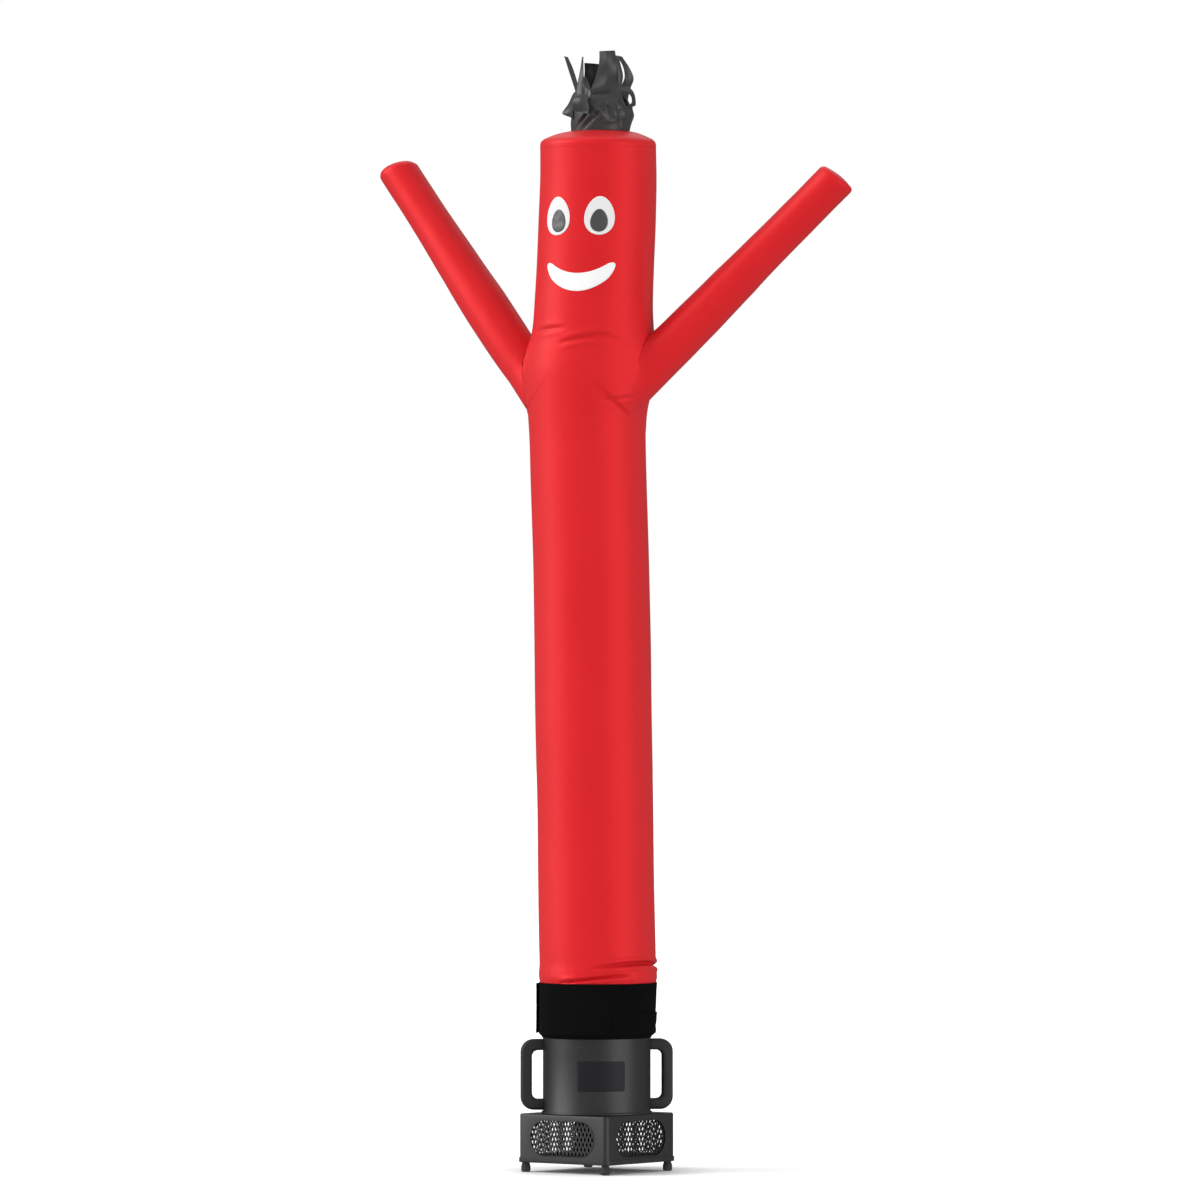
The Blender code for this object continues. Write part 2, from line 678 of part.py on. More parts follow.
def build_grilles(frame, material):
    outline = stadium(WINDOW_LENGTH + 2 * GRILLE_LAP, WINDOW_HEIGHT + 2 * GRILLE_LAP, 6)
    mesh = finish_mesh("grille_plate", prism(outline, 0.0, GRILLE_WALL), True)
    plate = add_object("grille_plate", mesh, None)
    holes = bmesh.new()
    for x, z, wide, tall in diamond_places():
        diamond = prism(((x + wide, z), (x, z + tall), (x - wide, z), (x, z - tall)), -0.01, 0.01)
        piece = bpy.data.meshes.new("diamond")
        diamond.to_mesh(piece)
        diamond.free()
        holes.from_mesh(piece)
    hole_item = add_object("diamond_cut", finish_mesh("diamond_cut", holes, True), None)
    cut(plate, hole_item)
    shared = bake(plate)
    bpy.data.objects.remove(plate, do_unlink=True)
    shared.materials.clear()
    shared.materials.append(material)
    reach = BOX_SIDE / 2 - BOX_WALL - GAP
    for number in range(4):
        item = bpy.data.objects.new("grille_" + str(number + 1), shared)
        bpy.context.scene.collection.objects.link(item)
        turn = math.radians(90.0 * number)
        item.parent = frame
        item.rotation_euler.z = turn
        item.location = Matrix.Rotation(turn, 3, "Z") @ Vector((0.0, -reach, WINDOW_CENTRE))


def build_feet(frame, material):
    bm = bmesh.new()
    points = [bm.verts.new(around(0.0, row.radius, row.height)) for row in FOOT_ROWS]
    edges = [bm.edges.new(pair) for pair in zip(points, points[1:])]
    bmesh.ops.spin(bm, geom=points + edges, cent=(0, 0, 0), axis=(0, 0, 1), dvec=(0, 0, 0),
                   angle=2.0 * math.pi, steps=FOOT_SIDES, use_merge=True)
    bmesh.ops.remove_doubles(bm, verts=bm.verts, dist=1e-6)
    mesh = finish_mesh("foot", bm)
    mesh.materials.append(material)
    for number, angle in enumerate((45, 135, 225, 315)):
        item = bpy.data.objects.new("foot_" + str(number + 1), mesh)
        bpy.context.scene.collection.objects.link(item)
        item.parent = frame
        item.location = around(angle, FOOT_RING, 0.0)


def build_gland(frame, material):
    across, height = GLAND_PLACE
    bm = bmesh.new()
    bmesh.ops.create_cone(bm, cap_ends=True, segments=12, radius1=GLAND_RADIUS, radius2=GLAND_RADIUS * 0.6,
                          depth=GLAND_LENGTH)
    item = add_object("cable_gland", finish_mesh("cable_gland", bm), material, frame)
    item.rotation_euler.x = math.radians(-90.0)
    item.location = (across, BOX_SIDE / 2 + GAP + GLAND_LENGTH / 2, height)


def main():
    clear_scene()
    red = make_material("red_cloth", (0.72, 0.045, 0.05), 0.62)
    black_cloth = make_material("black_cloth", (0.008, 0.008, 0.010), 0.80)
    hair_cloth = make_material("hair_cloth", (0.05, 0.05, 0.052), 0.55)
    white = make_material("white_cloth", (0.84, 0.84, 0.84), 0.65)
    pupil = make_material("pupil_cloth", (0.055, 0.057, 0.056), 0.65)
    housing = make_material("black_housing", (0.038, 0.038, 0.040), 0.50)
    handle = make_material("black_handle", (0.032, 0.032, 0.034), 0.60)
    label = make_material("label_film", (0.016, 0.017, 0.022), 0.35)
    steel = make_material("dark_mesh", (0.05, 0.05, 0.052), 0.45, 1.0)
    rubber = make_material("black_rubber", (0.03, 0.03, 0.03), 0.75)
    build_body(red)
    build_hair(hair_cloth)
    build_face(white, pupil)
    build_collar(black_cloth)
    build_drum(housing)
    build_label(label)
    build_handles(handle)
    frame = bpy.data.objects.new("blower_frame", None)
    bpy.context.scene.collection.objects.link(frame)
    frame.rotation_euler.z = math.radians(BLOWER_TURN)
    build_box(frame, housing)
    build_grilles(frame, steel)
    build_feet(frame, rubber)
    build_gland(frame, rubber)


main()
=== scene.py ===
import math

import bmesh
import bpy
import numpy as np
from mathutils import Matrix, Vector, noise


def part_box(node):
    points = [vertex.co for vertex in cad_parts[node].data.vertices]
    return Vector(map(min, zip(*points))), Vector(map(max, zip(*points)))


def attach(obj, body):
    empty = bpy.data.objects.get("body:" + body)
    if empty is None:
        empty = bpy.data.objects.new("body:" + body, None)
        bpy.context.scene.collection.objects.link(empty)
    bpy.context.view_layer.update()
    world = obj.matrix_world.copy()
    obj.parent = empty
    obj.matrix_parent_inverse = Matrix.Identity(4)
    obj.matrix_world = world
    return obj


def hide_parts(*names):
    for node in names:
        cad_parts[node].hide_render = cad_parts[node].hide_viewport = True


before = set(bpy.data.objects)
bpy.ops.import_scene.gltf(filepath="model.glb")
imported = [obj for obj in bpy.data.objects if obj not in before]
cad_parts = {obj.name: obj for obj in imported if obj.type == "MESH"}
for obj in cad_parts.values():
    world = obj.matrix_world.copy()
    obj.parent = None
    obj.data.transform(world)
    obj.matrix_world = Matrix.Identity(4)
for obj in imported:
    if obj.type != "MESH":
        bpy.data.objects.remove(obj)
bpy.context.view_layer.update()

# Angles round the dancer are in degrees from its face and grow towards +X; sizes are in metres.
blowerTurn = math.radians(-18)
cadGap = 0.0003


# Sockets and finishes

class Socket:
    # A node's output that adds Math nodes when it is used in a sum.
    def __init__(self, finish, output):
        self.finish = finish
        self.output = output

    def maths(self, operation, first, second=None):
        inputs = {0: first} if second is None else {0: first, 1: second}
        return self.finish.node("Math", {"operation": operation}, inputs)

    def __add__(self, other):
        return self.maths("ADD", self, other)

    def __radd__(self, other):
        return self.maths("ADD", other, self)

    def __sub__(self, other):
        return self.maths("SUBTRACT", self, other)

    def __rsub__(self, other):
        return self.maths("SUBTRACT", other, self)

    def __mul__(self, other):
        return self.maths("MULTIPLY", self, other)

    def __rmul__(self, other):
        return self.maths("MULTIPLY", other, self)

    def sine(self):
        return self.maths("SINE", self)

    def size(self):
        return self.maths("ABSOLUTE", self)

    def clamped(self):
        return self.maths("MINIMUM", self.maths("MAXIMUM", self, 0.0), 1.0)


class Finish:
    # One procedural material, with its constants set on the shader's own sockets.
    def __init__(self, name, constants):
        self.material = bpy.data.materials.new(name)
        self.material.use_nodes = True
        self.tree = self.material.node_tree
        self.shader = self.tree.nodes["Principled BSDF"]
        for socket, value in constants.items():
            self.shader.inputs[socket].default_value = value

    def node(self, kind, settings, inputs, output=0):
        made = self.tree.nodes.new("ShaderNode" + kind)
        for key, value in settings.items():
            if key == "stops":
                made.color_ramp.elements[0].position = value[0][0]
                made.color_ramp.elements[1].position = value[1][0]
                for element, (place, level) in zip(made.color_ramp.elements, value):
                    element.color = (level, level, level, 1.0)
            else:
                setattr(made, key, value)
        for key, value in inputs.items():
            if isinstance(value, Socket):
                self.tree.links.new(value.output, made.inputs[key])
            else:
                made.inputs[key].default_value = value
        return Socket(self, made.outputs[output])

    def feed(self, socket, value):
        self.tree.links.new(value.output, self.shader.inputs[socket])

    def objectPlace(self, stretch=(1.0, 1.0, 1.0)):
        place = self.node("TexCoord", {}, {}, "Object")
        return self.node("Mapping", {}, {"Vector": place, "Scale": stretch})

    def flatPlace(self):
        # The cloth's own flat coordinates, in metres.
        return self.node("TexCoord", {}, {}, "UV")

    def parts(self, vector):
        return [self.node("SeparateXYZ", {}, {"Vector": vector}, axis) for axis in ("X", "Y", "Z")]

    def mottle(self, place, scale, detail=3.0, roughness=0.55):
        inputs = {"Vector": place, "Scale": scale, "Detail": detail, "Roughness": roughness}
        return self.node("TexNoise", {}, inputs)

    def ramp(self, factor, low, high):
        # 0 below low and 1 above high, with a straight run between.
        return self.node("ValToRGB", {"stops": ((low, 0.0), (high, 1.0))}, {"Fac": factor})

    def mixed(self, factor, first, second):
        return self.node("Mix", {"data_type": "RGBA"}, {0: factor, 6: first, 7: second}, 2)

    def bump(self, height, strength, distance, under=None):
        inputs = {"Height": height, "Strength": strength, "Distance": distance}
        if under is not None:
            inputs["Normal"] = under
        return self.node("Bump", {}, inputs)


def colour(red, green, blue):
    return (red, green, blue, 1.0)


def plainWeave(across, up, thread):
    turns = math.tau / thread
    return (across * turns).sine() * (up * turns).sine()


def nylonFinish(name, look):
    # Coated ripstop nylon: a fine weave, a grid of stronger threads and a soft sheen.
    finish = Finish(name, {
        "Sheen Weight": look["sheen"],
        "Sheen Roughness": 0.45,
        "Specular IOR Level": look["gloss"],
        "Specular Tint": look["glossTint"],
    })
    across, up = finish.parts(finish.flatPlace())[:2]
    weave = plainWeave(across, up, look["thread"])
    acrossLine = (across * (math.pi / look["grid"])).sine().size()
    upLine = (up * (math.pi / look["grid"])).sine().size()
    ripstop = finish.ramp(1.0 - acrossLine, 0.965, 0.99) + finish.ramp(1.0 - upLine, 0.965, 0.99)
    place = finish.objectPlace()
    cloudy = finish.mottle(place, look["cloud"], 4.0)
    worn = finish.mottle(place, 38.0, 5.0, 0.7)
    patch = (cloudy * 0.75 + worn * 0.25 + weave * 0.04 + ripstop * 0.03).clamped()
    finish.feed("Base Color", finish.mixed(finish.ramp(patch, 0.30, 0.72), look["deep"], look["light"]))
    finish.feed("Roughness", cloudy * 0.10 + weave * 0.03 + (look["roughness"] - 0.05))
    threads = finish.bump(weave * 0.5 + ripstop * 0.9, look["bump"], 0.00012)
    finish.feed("Normal", finish.bump(finish.mottle(place, 55.0, 3.0), 0.10, 0.0012, threads))
    return finish.material


def webbingFinish(name, look):
    # Heavy black pack cloth: a coarse basket weave, lint and slightly greyed high threads.
    finish = Finish(name, {
        "Sheen Weight": look["sheen"],
        "Sheen Roughness": 0.6,
        "Specular IOR Level": look["gloss"],
    })
    across, up = finish.parts(finish.flatPlace())[:2]
    basket = plainWeave(across, up, look["thread"])
    lint = finish.mottle(finish.objectPlace(), 160.0, 6.0, 0.75)
    faded = finish.mottle(finish.objectPlace(), 7.0, 3.0)
    grey = (finish.ramp(lint, 0.62, 0.80) * 0.35 + basket * 0.12 + faded * 0.45).clamped()
    finish.feed("Base Color", finish.mixed(grey, look["deep"], look["light"]))
    finish.feed("Roughness", look["roughness"] - basket * 0.05)
    finish.feed("Normal", finish.bump(basket + lint * 0.6, look["bump"], 0.0003))
    return finish.material


def paintFinish(name, look):
    # Powder coat or moulded plastic: a fine pebble, faint streaks and dust low down.
    finish = Finish(name, {
        "Specular IOR Level": look["gloss"],
        "Metallic": look["metallic"],
    })
    place = finish.objectPlace()
    pebble = finish.mottle(place, look["pebble"], 2.0, 0.5)
    streak = finish.mottle(finish.objectPlace((9.0, 9.0, 2.2)), 3.0, 4.0, 0.6)
    height = finish.parts(place)[2]
    dust = (finish.ramp(1.0 - height * look["dustFade"], 0.15, 1.0) * streak * look["dust"]).clamped()
    scuff = finish.ramp(finish.mottle(finish.objectPlace((60.0, 60.0, 14.0)), 1.6, 6.0, 0.8), 0.66, 0.74)
    base = finish.mixed(streak, look["deep"], look["light"])
    scuffed = finish.mixed((scuff * look["scuff"]).clamped(), base, look["scuffed"])
    finish.feed("Base Color", finish.mixed(dust, scuffed, look["dusty"]))
    finish.feed("Roughness", streak * 0.14 + dust * 0.25 + (look["roughness"] - 0.07) + scuff * 0.05)
    finish.feed("Normal", finish.bump(pebble, look["bump"], 0.0004))
    return finish.material


redLook = {
    "deep": colour(0.570, 0.0160, 0.0205), "light": colour(0.625, 0.0200, 0.0245), "roughness": 0.42,
    "gloss": 1.0, "sheen": 0.0, "glossTint": colour(1.0, 0.05, 0.05), "thread": 0.0009, "grid": 0.0060,
    "cloud": 2.6, "bump": 0.22,
}
hairLook = dict(redLook, deep=colour(0.024, 0.0245, 0.025), light=colour(0.034, 0.0345, 0.035),
                roughness=0.36, gloss=0.36, sheen=0.03, glossTint=colour(1, 1, 1), cloud=9.0, bump=0.30)
eyeLook = dict(hairLook, deep=colour(0.700, 0.700, 0.700), light=colour(0.760, 0.760, 0.755),
               roughness=0.55, gloss=0.35, sheen=0.08, thread=0.0008, cloud=6.0, bump=0.18)
# The mouth's cloth is the eyes' white cloth made lighter: painted light, not a different white.
mouthLook = dict(eyeLook, deep=colour(0.800, 0.800, 0.800), light=colour(0.860, 0.860, 0.855))
pupilLook = dict(eyeLook, deep=colour(0.034, 0.035, 0.035), light=colour(0.044, 0.045, 0.045),
                 roughness=0.36, gloss=0.55, sheen=0.10, cloud=12.0)
collarLook = {
    "deep": colour(0.0018, 0.0018, 0.0022), "light": colour(0.0070, 0.0070, 0.0082), "roughness": 0.95,
    "gloss": 0.05, "sheen": 0.0, "thread": 0.0016, "bump": 0.60,
}
housingLook = {
    "deep": colour(0.0092, 0.0092, 0.0100), "light": colour(0.0132, 0.0132, 0.0140), "roughness": 0.42,
    "gloss": 0.36, "metallic": 0.0, "pebble": 900.0, "bump": 0.30, "dust": 0.05, "dustFade": 3.2,
    "scuff": 0.12, "scuffed": colour(0.090, 0.090, 0.092), "dusty": colour(0.110, 0.106, 0.100),
}
handleLook = dict(housingLook, deep=colour(0.0088, 0.0088, 0.0096), light=colour(0.0122, 0.0122, 0.0130),
                  roughness=0.58, gloss=0.36, pebble=1400.0, bump=0.40, scuff=0.25)
labelLook = dict(housingLook, deep=colour(0.0070, 0.0075, 0.0100), light=colour(0.0092, 0.0096, 0.0122),
                 roughness=0.50, gloss=0.16, pebble=300.0, bump=0.06, dust=0.03, scuff=0.06)
meshLook = dict(housingLook, deep=colour(0.012, 0.012, 0.013), light=colour(0.022, 0.022, 0.023),
                roughness=0.50, metallic=0.35, pebble=600.0, bump=0.25, scuff=0.30,
                scuffed=colour(0.080, 0.080, 0.082))
rubberLook = dict(housingLook, deep=colour(0.0110, 0.0110, 0.0110), light=colour(0.0160, 0.0160, 0.0160),
                  roughness=0.80, gloss=0.30, pebble=700.0, bump=0.45, dust=0.45, dustFade=14.0)

redNylon = nylonFinish("redNylon", redLook)
hairNylon = nylonFinish("hairNylon", hairLook)
eyeCloth = nylonFinish("eyeCloth", eyeLook)
mouthCloth = nylonFinish("mouthCloth", mouthLook)
pupilCloth = nylonFinish("pupilCloth", pupilLook)
collarCloth = webbingFinish("collarCloth", collarLook)
housingPaint = paintFinish("housingPaint", housingLook)
handlePlastic = paintFinish("handlePlastic", handleLook)
labelFilm = paintFinish("labelFilm", labelLook)
meshSteel = paintFinish("meshSteel", meshLook)
footRubber = paintFinish("footRubber", rubberLook)
print("finishes made")


# Shapes that the pieces share

def smoothRead(rows, column, place):
    # A smooth curve through one column of the rows, read at each place.
    known = np.array([row[0] for row in rows], float)
    values = np.array([row[column] for row in rows], float)
    slopes = np.gradient(values, known)
    place = np.clip(place, known[0], known[-1])
    low = np.clip(np.searchsorted(known, place, side="right") - 1, 0, len(known) - 2)
    span = known[low + 1] - known[low]
    t = (place - known[low]) / span
    start = (2 * t ** 3 - 3 * t ** 2 + 1) * values[low] + (t ** 3 - 2 * t ** 2 + t) * span * slopes[low]
    end = (3 * t ** 2 - 2 * t ** 3) * values[low + 1] + (t ** 3 - t ** 2) * span * slopes[low + 1]
    return start + end


def aroundAxis(angle, radius, height, lean=0.0):
    turn = np.radians(angle)
    across, back = lean + radius * np.sin(turn), -radius * np.cos(turn)
    return np.stack(np.broadcast_arrays(across, back, height), axis=-1)


def unit(rows):
    # Each row scaled to a length of 1.
    return rows / np.maximum(np.linalg.norm(rows, axis=1, keepdims=True), 1e-9)


def levelOut(spots):
    # The level direction from the dancer's axis towards each spot.
    return unit(spots * np.array((1.0, 1.0, 0.0)))


def readAlong(travel, table, places):
    # The table's rows read at places along a line.
    return np.stack([np.interp(places, travel, np.asarray(table)[:, k]) for k in range(3)], axis=1)


def wrapped(angle):
    return (angle + 180.0) % 360.0 - 180.0


def levels(*spans):
    # Even steps within each span, and the last span's end.
    found = []
    for low, high, step in spans:
        count = max(1, round((high - low) / step))
        found += [low + (high - low) * i / count for i in range(count)]
    return np.array(found + [spans[-1][1]])


def bell(distance, width):
    return np.exp(-(distance / width) ** 2)


def softNoise(points, scale, seed):
    # Smooth noise from -1 to 1 at each point.
    shift = Vector((seed * 7.13, seed * 3.71, seed * 5.37))
    stretch = np.asarray(scale, float)
    flat = (np.asarray(points) * stretch).reshape(-1, 3)
    values = [noise.noise(Vector(point) + shift) for point in flat]
    return np.array(values).reshape(np.asarray(points).shape[:-1])


def cutSheet(bm, across, up, place, flatAcross, flatUp, flip=False):
    # A flat grid with its UV map in metres, then each point moved to its place.
    uvLayer = bm.loops.layers.uv.verify()
    columns, rows = len(across), len(up)
    made = bmesh.ops.create_grid(bm, x_segments=columns - 1, y_segments=rows - 1, size=1.0)["verts"]
    i = np.array([round((point.co.x + 1.0) / 2.0 * (columns - 1)) for point in made])
    j = np.array([round((point.co.y + 1.0) / 2.0 * (rows - 1)) for point in made])
    spots = place(np.asarray(across)[i], np.asarray(up)[j])
    cells = {}
    for point, column, row, spot in zip(made, i, j, spots):
        cells[point] = (flatAcross[column], flatUp[row])
        point.co = spot
    faces = {face for point in made for face in point.link_faces}
    for face in faces:
        for loop in face.loops:
            loop[uvLayer].uv = cells[loop.vert]
    if flip:
        bmesh.ops.reverse_faces(bm, faces=list(faces))


def closeSeams(bm, reach=1e-6):
    bmesh.ops.remove_doubles(bm, verts=bm.verts, dist=reach)


def turnAround(bm, angle, points=None):
    # Turned round the upright axis, by an angle in radians.
    bmesh.ops.rotate(bm, cent=(0, 0, 0), matrix=Matrix.Rotation(angle, 3, "Z"), verts=points or bm.verts)


def roundEdges(bm, edges, offset, segments):
    bmesh.ops.bevel(bm, geom=edges, offset=offset, segments=segments, profile=0.5, affect="EDGES",
                    material=-1)


def addPiece(name, bm, finish, replaced=(), wall=None, sharp=None):
    mesh = bpy.data.meshes.new(name)
    bm.edges.index_update()
    rims = [edge.index for edge in bm.edges if edge.is_boundary]
    bm.to_mesh(mesh)
    bm.free()
    mesh.shade_smooth()
    if sharp is not None:
        mesh.set_sharp_from_angle(angle=math.radians(sharp))
    for index in rims:
        mesh.edges[index].use_edge_sharp = True    # a cut edge stays crisp once the wall has its thickness
    mesh.materials.append(finish)
    piece = bpy.data.objects.new(name, mesh)
    bpy.context.scene.collection.objects.link(piece)
    if wall is not None:
        shell = piece.modifiers.new("wall", "SOLIDIFY")
        shell.thickness = wall
        shell.offset = -1.0
        shell.use_even_offset = False
    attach(piece, "root")
    if replaced:
        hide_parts(*replaced)
    return piece


def stitches(name, lines, look, finish):
    # Short threads laid along lines of (points, outward directions), as one joined mesh.
    seed = bmesh.new()
    bmesh.ops.create_uvsphere(seed, u_segments=6, v_segments=4, radius=1.0)
    corners = np.array([point.co[:] for point in seed.verts])
    faces = [[point.index for point in face.verts] for face in seed.faces]
    seed.free()
    allPoints, allFaces = [], []
    for points, outward in lines:
        points = np.asarray(points)
        steps = np.linalg.norm(np.diff(points, axis=0), axis=1)
        travel = np.concatenate([[0.0], np.cumsum(steps)])
        count = int(travel[-1] / look["pitch"])
        middles = (np.arange(count) + 0.5) * travel[-1] / count
        centre = readAlong(travel, points, middles)
        forward = unit(readAlong(travel, points, middles + look["pitch"] * 0.3) - centre)
        out = unit(readAlong(travel, outward, middles))
        side = np.cross(forward, out)
        for k in range(count):
            if not np.linalg.norm(forward[k]) > 0.5:
                continue
            start = len(allPoints)
            placed = corners[:, 0:1] * forward[k] * look["pitch"] * look["length"]
            placed = placed + corners[:, 1:2] * side[k] * look["thick"]
            placed = placed + corners[:, 2:3] * out[k] * look["thick"] * look["flatness"]
            placed = placed + centre[k] + out[k] * look["rise"]
            allPoints += [tuple(point) for point in placed]
            allFaces += [[start + index for index in face] for face in faces]
    mesh = bpy.data.meshes.new(name)
    mesh.from_pydata(allPoints, [], allFaces)
    bm = bmesh.new()
    bm.from_mesh(mesh)
    bpy.data.meshes.remove(mesh)
    return addPiece(name, bm, finish)


# Body tube

bodyTube = {
    "columns": 144, "wall": 0.0016, "cutRadius": 0.1667, "holesArea": 0.026, "swell": 0.0011,
    "seamWidth": 0.006, "seamRise": 0.0008, "seamLap": 0.004, "seamGroove": 0.0016, "puckers": 52,
    "topPucker": 0.0002, "topRun": 0.014, "foot": 0.541, "footPucker": 0.0010, "footPuckers": 31,
    "footRun": 0.020,
}
# height lean radius
tubeRows = (
    (0.470, 0.0020, 0.1630), (0.530, 0.0035, 0.1652), (0.543, 0.0040, 0.1660), (0.556, 0.0040, 0.1687),
    (0.572, 0.0030, 0.1680), (0.590, 0.0030, 0.1668), (0.634, 0.0020, 0.1667), (0.834, -0.0020, 0.1659),
    (1.063, -0.0050, 0.1659), (1.291, -0.0100, 0.1667), (1.520, -0.0130, 0.1667), (1.749, -0.0175, 0.1659),
    (1.978, -0.0250, 0.1665), (2.092, -0.0280, 0.1667), (2.166, -0.0300, 0.1685), (2.230, -0.0280, 0.1715),
    (2.292, -0.0250, 0.1740), (2.340, -0.0210, 0.1730), (2.395, -0.0130, 0.1716), (2.475, -0.0100, 0.1696),
    (2.578, -0.0050, 0.1682), (2.716, 0.0010, 0.1682), (2.853, 0.0050, 0.1667), (2.925, 0.0040, 0.1659),
)
# angle height pull spreadAngle spreadHeight
shoulders = ((-90, 2.300, 0.016, 34, 0.085), (90, 2.310, 0.006, 30, 0.080))
# angleFrom angleTo heightFrom heightTo lift depth width ridge
tubeFolds = (
    (14, 150, 0.584, 0.566, 0.0230, 0.0165, 0.0048, 0.0044),
    (-22, 54, 0.5425, 0.5670, 0.002, 0.0150, 0.0040, 0.0030),
    (-8, 46, 0.5590, 0.5740, 0.001, 0.0042, 0.0060, 0.0),
    (22, 40, 0.6130, 0.6160, 0.001, 0.0012, 0.0040, 0.0004),
    (-50, -6, 2.398, 2.409, 0.002, 0.0042, 0.0055, 0.0012),
    (-12, 40, 2.3655, 2.390, 0.004, 0.0085, 0.0058, 0.0026),
    (14, 50, 2.3770, 2.3745, 0.001, 0.0030, 0.0060, 0.0010),
    (34, 84, 2.200, 2.215, 0.001, 0.0058, 0.0050, 0.0016),
    (40, 92, 2.196, 2.180, 0.003, 0.0030, 0.0060, 0.0008),
)
armLeft = {
    "name": "armLeft", "node": "arm_left", "start": (-0.2130, 0.0, 2.2924), "reach": (-0.4590, 0.143, 0.597),
    "rows": ((0.0, 0.0610), (0.10, 0.0665), (0.22, 0.0675), (0.38, 0.0620), (0.56, 0.0560), (0.80, 0.0560)),
    "corner": 0.027, "slant": 0.25, "bulge": 0.0015, "seed": 3,
    "tubeFlare": 0.006, "armFlare": 0.004, "topFlare": 0.0,
}
armRight = {
    "name": "armRight", "node": "arm_right", "start": (0.1514, 0.0, 2.2866), "reach": (0.5300, 0.143, 0.5540),
    "rows": ((0.0, 0.0640), (0.18, 0.0640), (0.32, 0.0615), (0.46, 0.0575), (0.62, 0.0560), (0.80, 0.0560)),
    "corner": 0.016, "slant": -0.10, "bulge": 0.0048, "seed": 5,
    "tubeFlare": 0.016, "armFlare": 0.012, "topFlare": 0.25,
}
armJoin = {
    "puckers": 19, "pucker": 0.0004, "puckerRun": 0.020, "dip": 0.0001, "tubeDip": 0.007, "armDip": 0.008,
    "fade": 0.016, "hole": 0.004, "behind": -0.12, "rootFrom": -0.10, "rootTo": 0.12, "tubeRun": 0.042,
    "armRun": 0.034, "gap": 0.0004, "taper": 0.86,
    "tipPuckers": 23, "tipPucker": 0.0009,
}


def foldLift(angle, height):
    # Soft troughs, each with a low ridge on both sides.
    total = np.zeros(np.broadcast(angle, height).shape)
    for angleFrom, angleTo, heightFrom, heightTo, lift, depth, width, ridge in tubeFolds:
        share = wrapped(angle - angleFrom) / (angleTo - angleFrom)
        inside = (share >= 0.0) & (share <= 1.0)
        share = np.clip(share, 0.0, 1.0)
        middle = heightFrom + (heightTo - heightFrom) * share + lift * 4.0 * share * (1.0 - share)
        fade = np.sin(np.pi * share) ** 0.7
        distance = height - middle
        trough = depth * bell(distance, width * (0.6 + 0.5 * fade))
        above, below = (bell(distance + side * 2.4 * width, 1.5 * width) for side in (-1, 1))
        total += np.where(inside, fade * (ridge * (above + below) - trough), 0.0)
    # The collar's strap holds the cloth in, so no ridge starts under its edge.
    held = np.clip((height - bodyTube["foot"]) / 0.006, 0.0, 1.0)
    return np.where(total > 0.0, total * held, total)


def armAxes(arm):
    direction = Vector(arm["reach"]).normalized()
    side = direction.cross(Vector((0.0, 1.0, 0.0))).normalized()
    return np.array(direction), np.array(side), np.array(side.cross(direction))


def fromArm(arm, points):
    # How far points lie outside an arm's root, and their turn round it.
    direction, side, depth = armAxes(arm)
    offset = points - np.array(arm["start"])
    across, back = offset @ side, offset @ depth
    outside = np.hypot(across, back) - arm["rows"][0][1]
    nearEnd = offset @ direction > armJoin["behind"]
    return np.where(nearEnd, outside, 1.0), np.degrees(np.arctan2(back, across))


def flareShare(arm, turnDegrees):
    # The cloth runs smoothly into an arm at its front and back, and turns sharply below it.
    turn = np.radians(turnDegrees)
    return np.clip(np.sin(turn) ** 2 + arm["topFlare"] * np.clip(np.cos(turn), 0.0, 1.0), 0.0, 1.0)


def plainTube(angle, height, lift=0.0):
    radius = smoothRead(tubeRows, 2, height) + lift + foldLift(angle, height)
    for middle, level, pull, spreadAngle, spreadHeight in shoulders:
        around = bell(wrapped(angle - middle), spreadAngle)
        radius = radius + pull * around * bell(height - level, spreadHeight)
    return radius


def tubePoints(angle, height, lift=0.0):
    return aroundAxis(angle, plainTube(angle, height, lift), height, smoothRead(tubeRows, 1, height))


def puckerWave(angle, count):
    return np.cos(np.radians(angle * count) + 1.7 * np.sin(np.radians(angle * 3.0 + 40.0)))


def fineTube(angle, height):
    # The plain tube with soft swells, sewn seams and the puckers beside them.
    angle, height = np.asarray(angle, float), np.asarray(height, float)
    base = tubePoints(angle, height)
    rise = bodyTube["swell"] * softNoise(base, (4.5, 4.5, 0.9), 1)
    rise += 0.35 * bodyTube["swell"] * softNoise(base, (16.0, 16.0, 5.0), 2)
    seam = wrapped(angle - 180.0) * 0.0029
    lap = bell(seam - bodyTube["seamLap"], bodyTube["seamWidth"])
    rise += bodyTube["seamRise"] * (lap - bell(seam, bodyTube["seamGroove"]))
    top, foot = tubeRows[-1][0], bodyTube["foot"]
    wave = puckerWave(angle, bodyTube["puckers"])
    rise += bodyTube["topPucker"] * wave * np.exp(-(top - height) / bodyTube["topRun"])
    footWave = puckerWave(angle + 11.0, bodyTube["footPuckers"])
    footWave = np.minimum(footWave, np.where(height > foot, 1.0, -0.4))
    rise += bodyTube["footPucker"] * footWave * np.exp(-np.abs(height - foot) / bodyTube["footRun"])
    for arm in (armLeft, armRight):
        outside, turn = fromArm(arm, base)
        beyond = np.maximum(outside, 0.0)
        wave = puckerWave(turn, armJoin["puckers"])
        rise += armJoin["pucker"] * wave * np.exp(-beyond / armJoin["fade"])
        rise -= armJoin["dip"] * bell(outside, armJoin["tubeDip"])
        rise += arm["tubeFlare"] * flareShare(arm, turn) * np.exp(-beyond / armJoin["tubeRun"])
    return tubePoints(angle, height, rise)


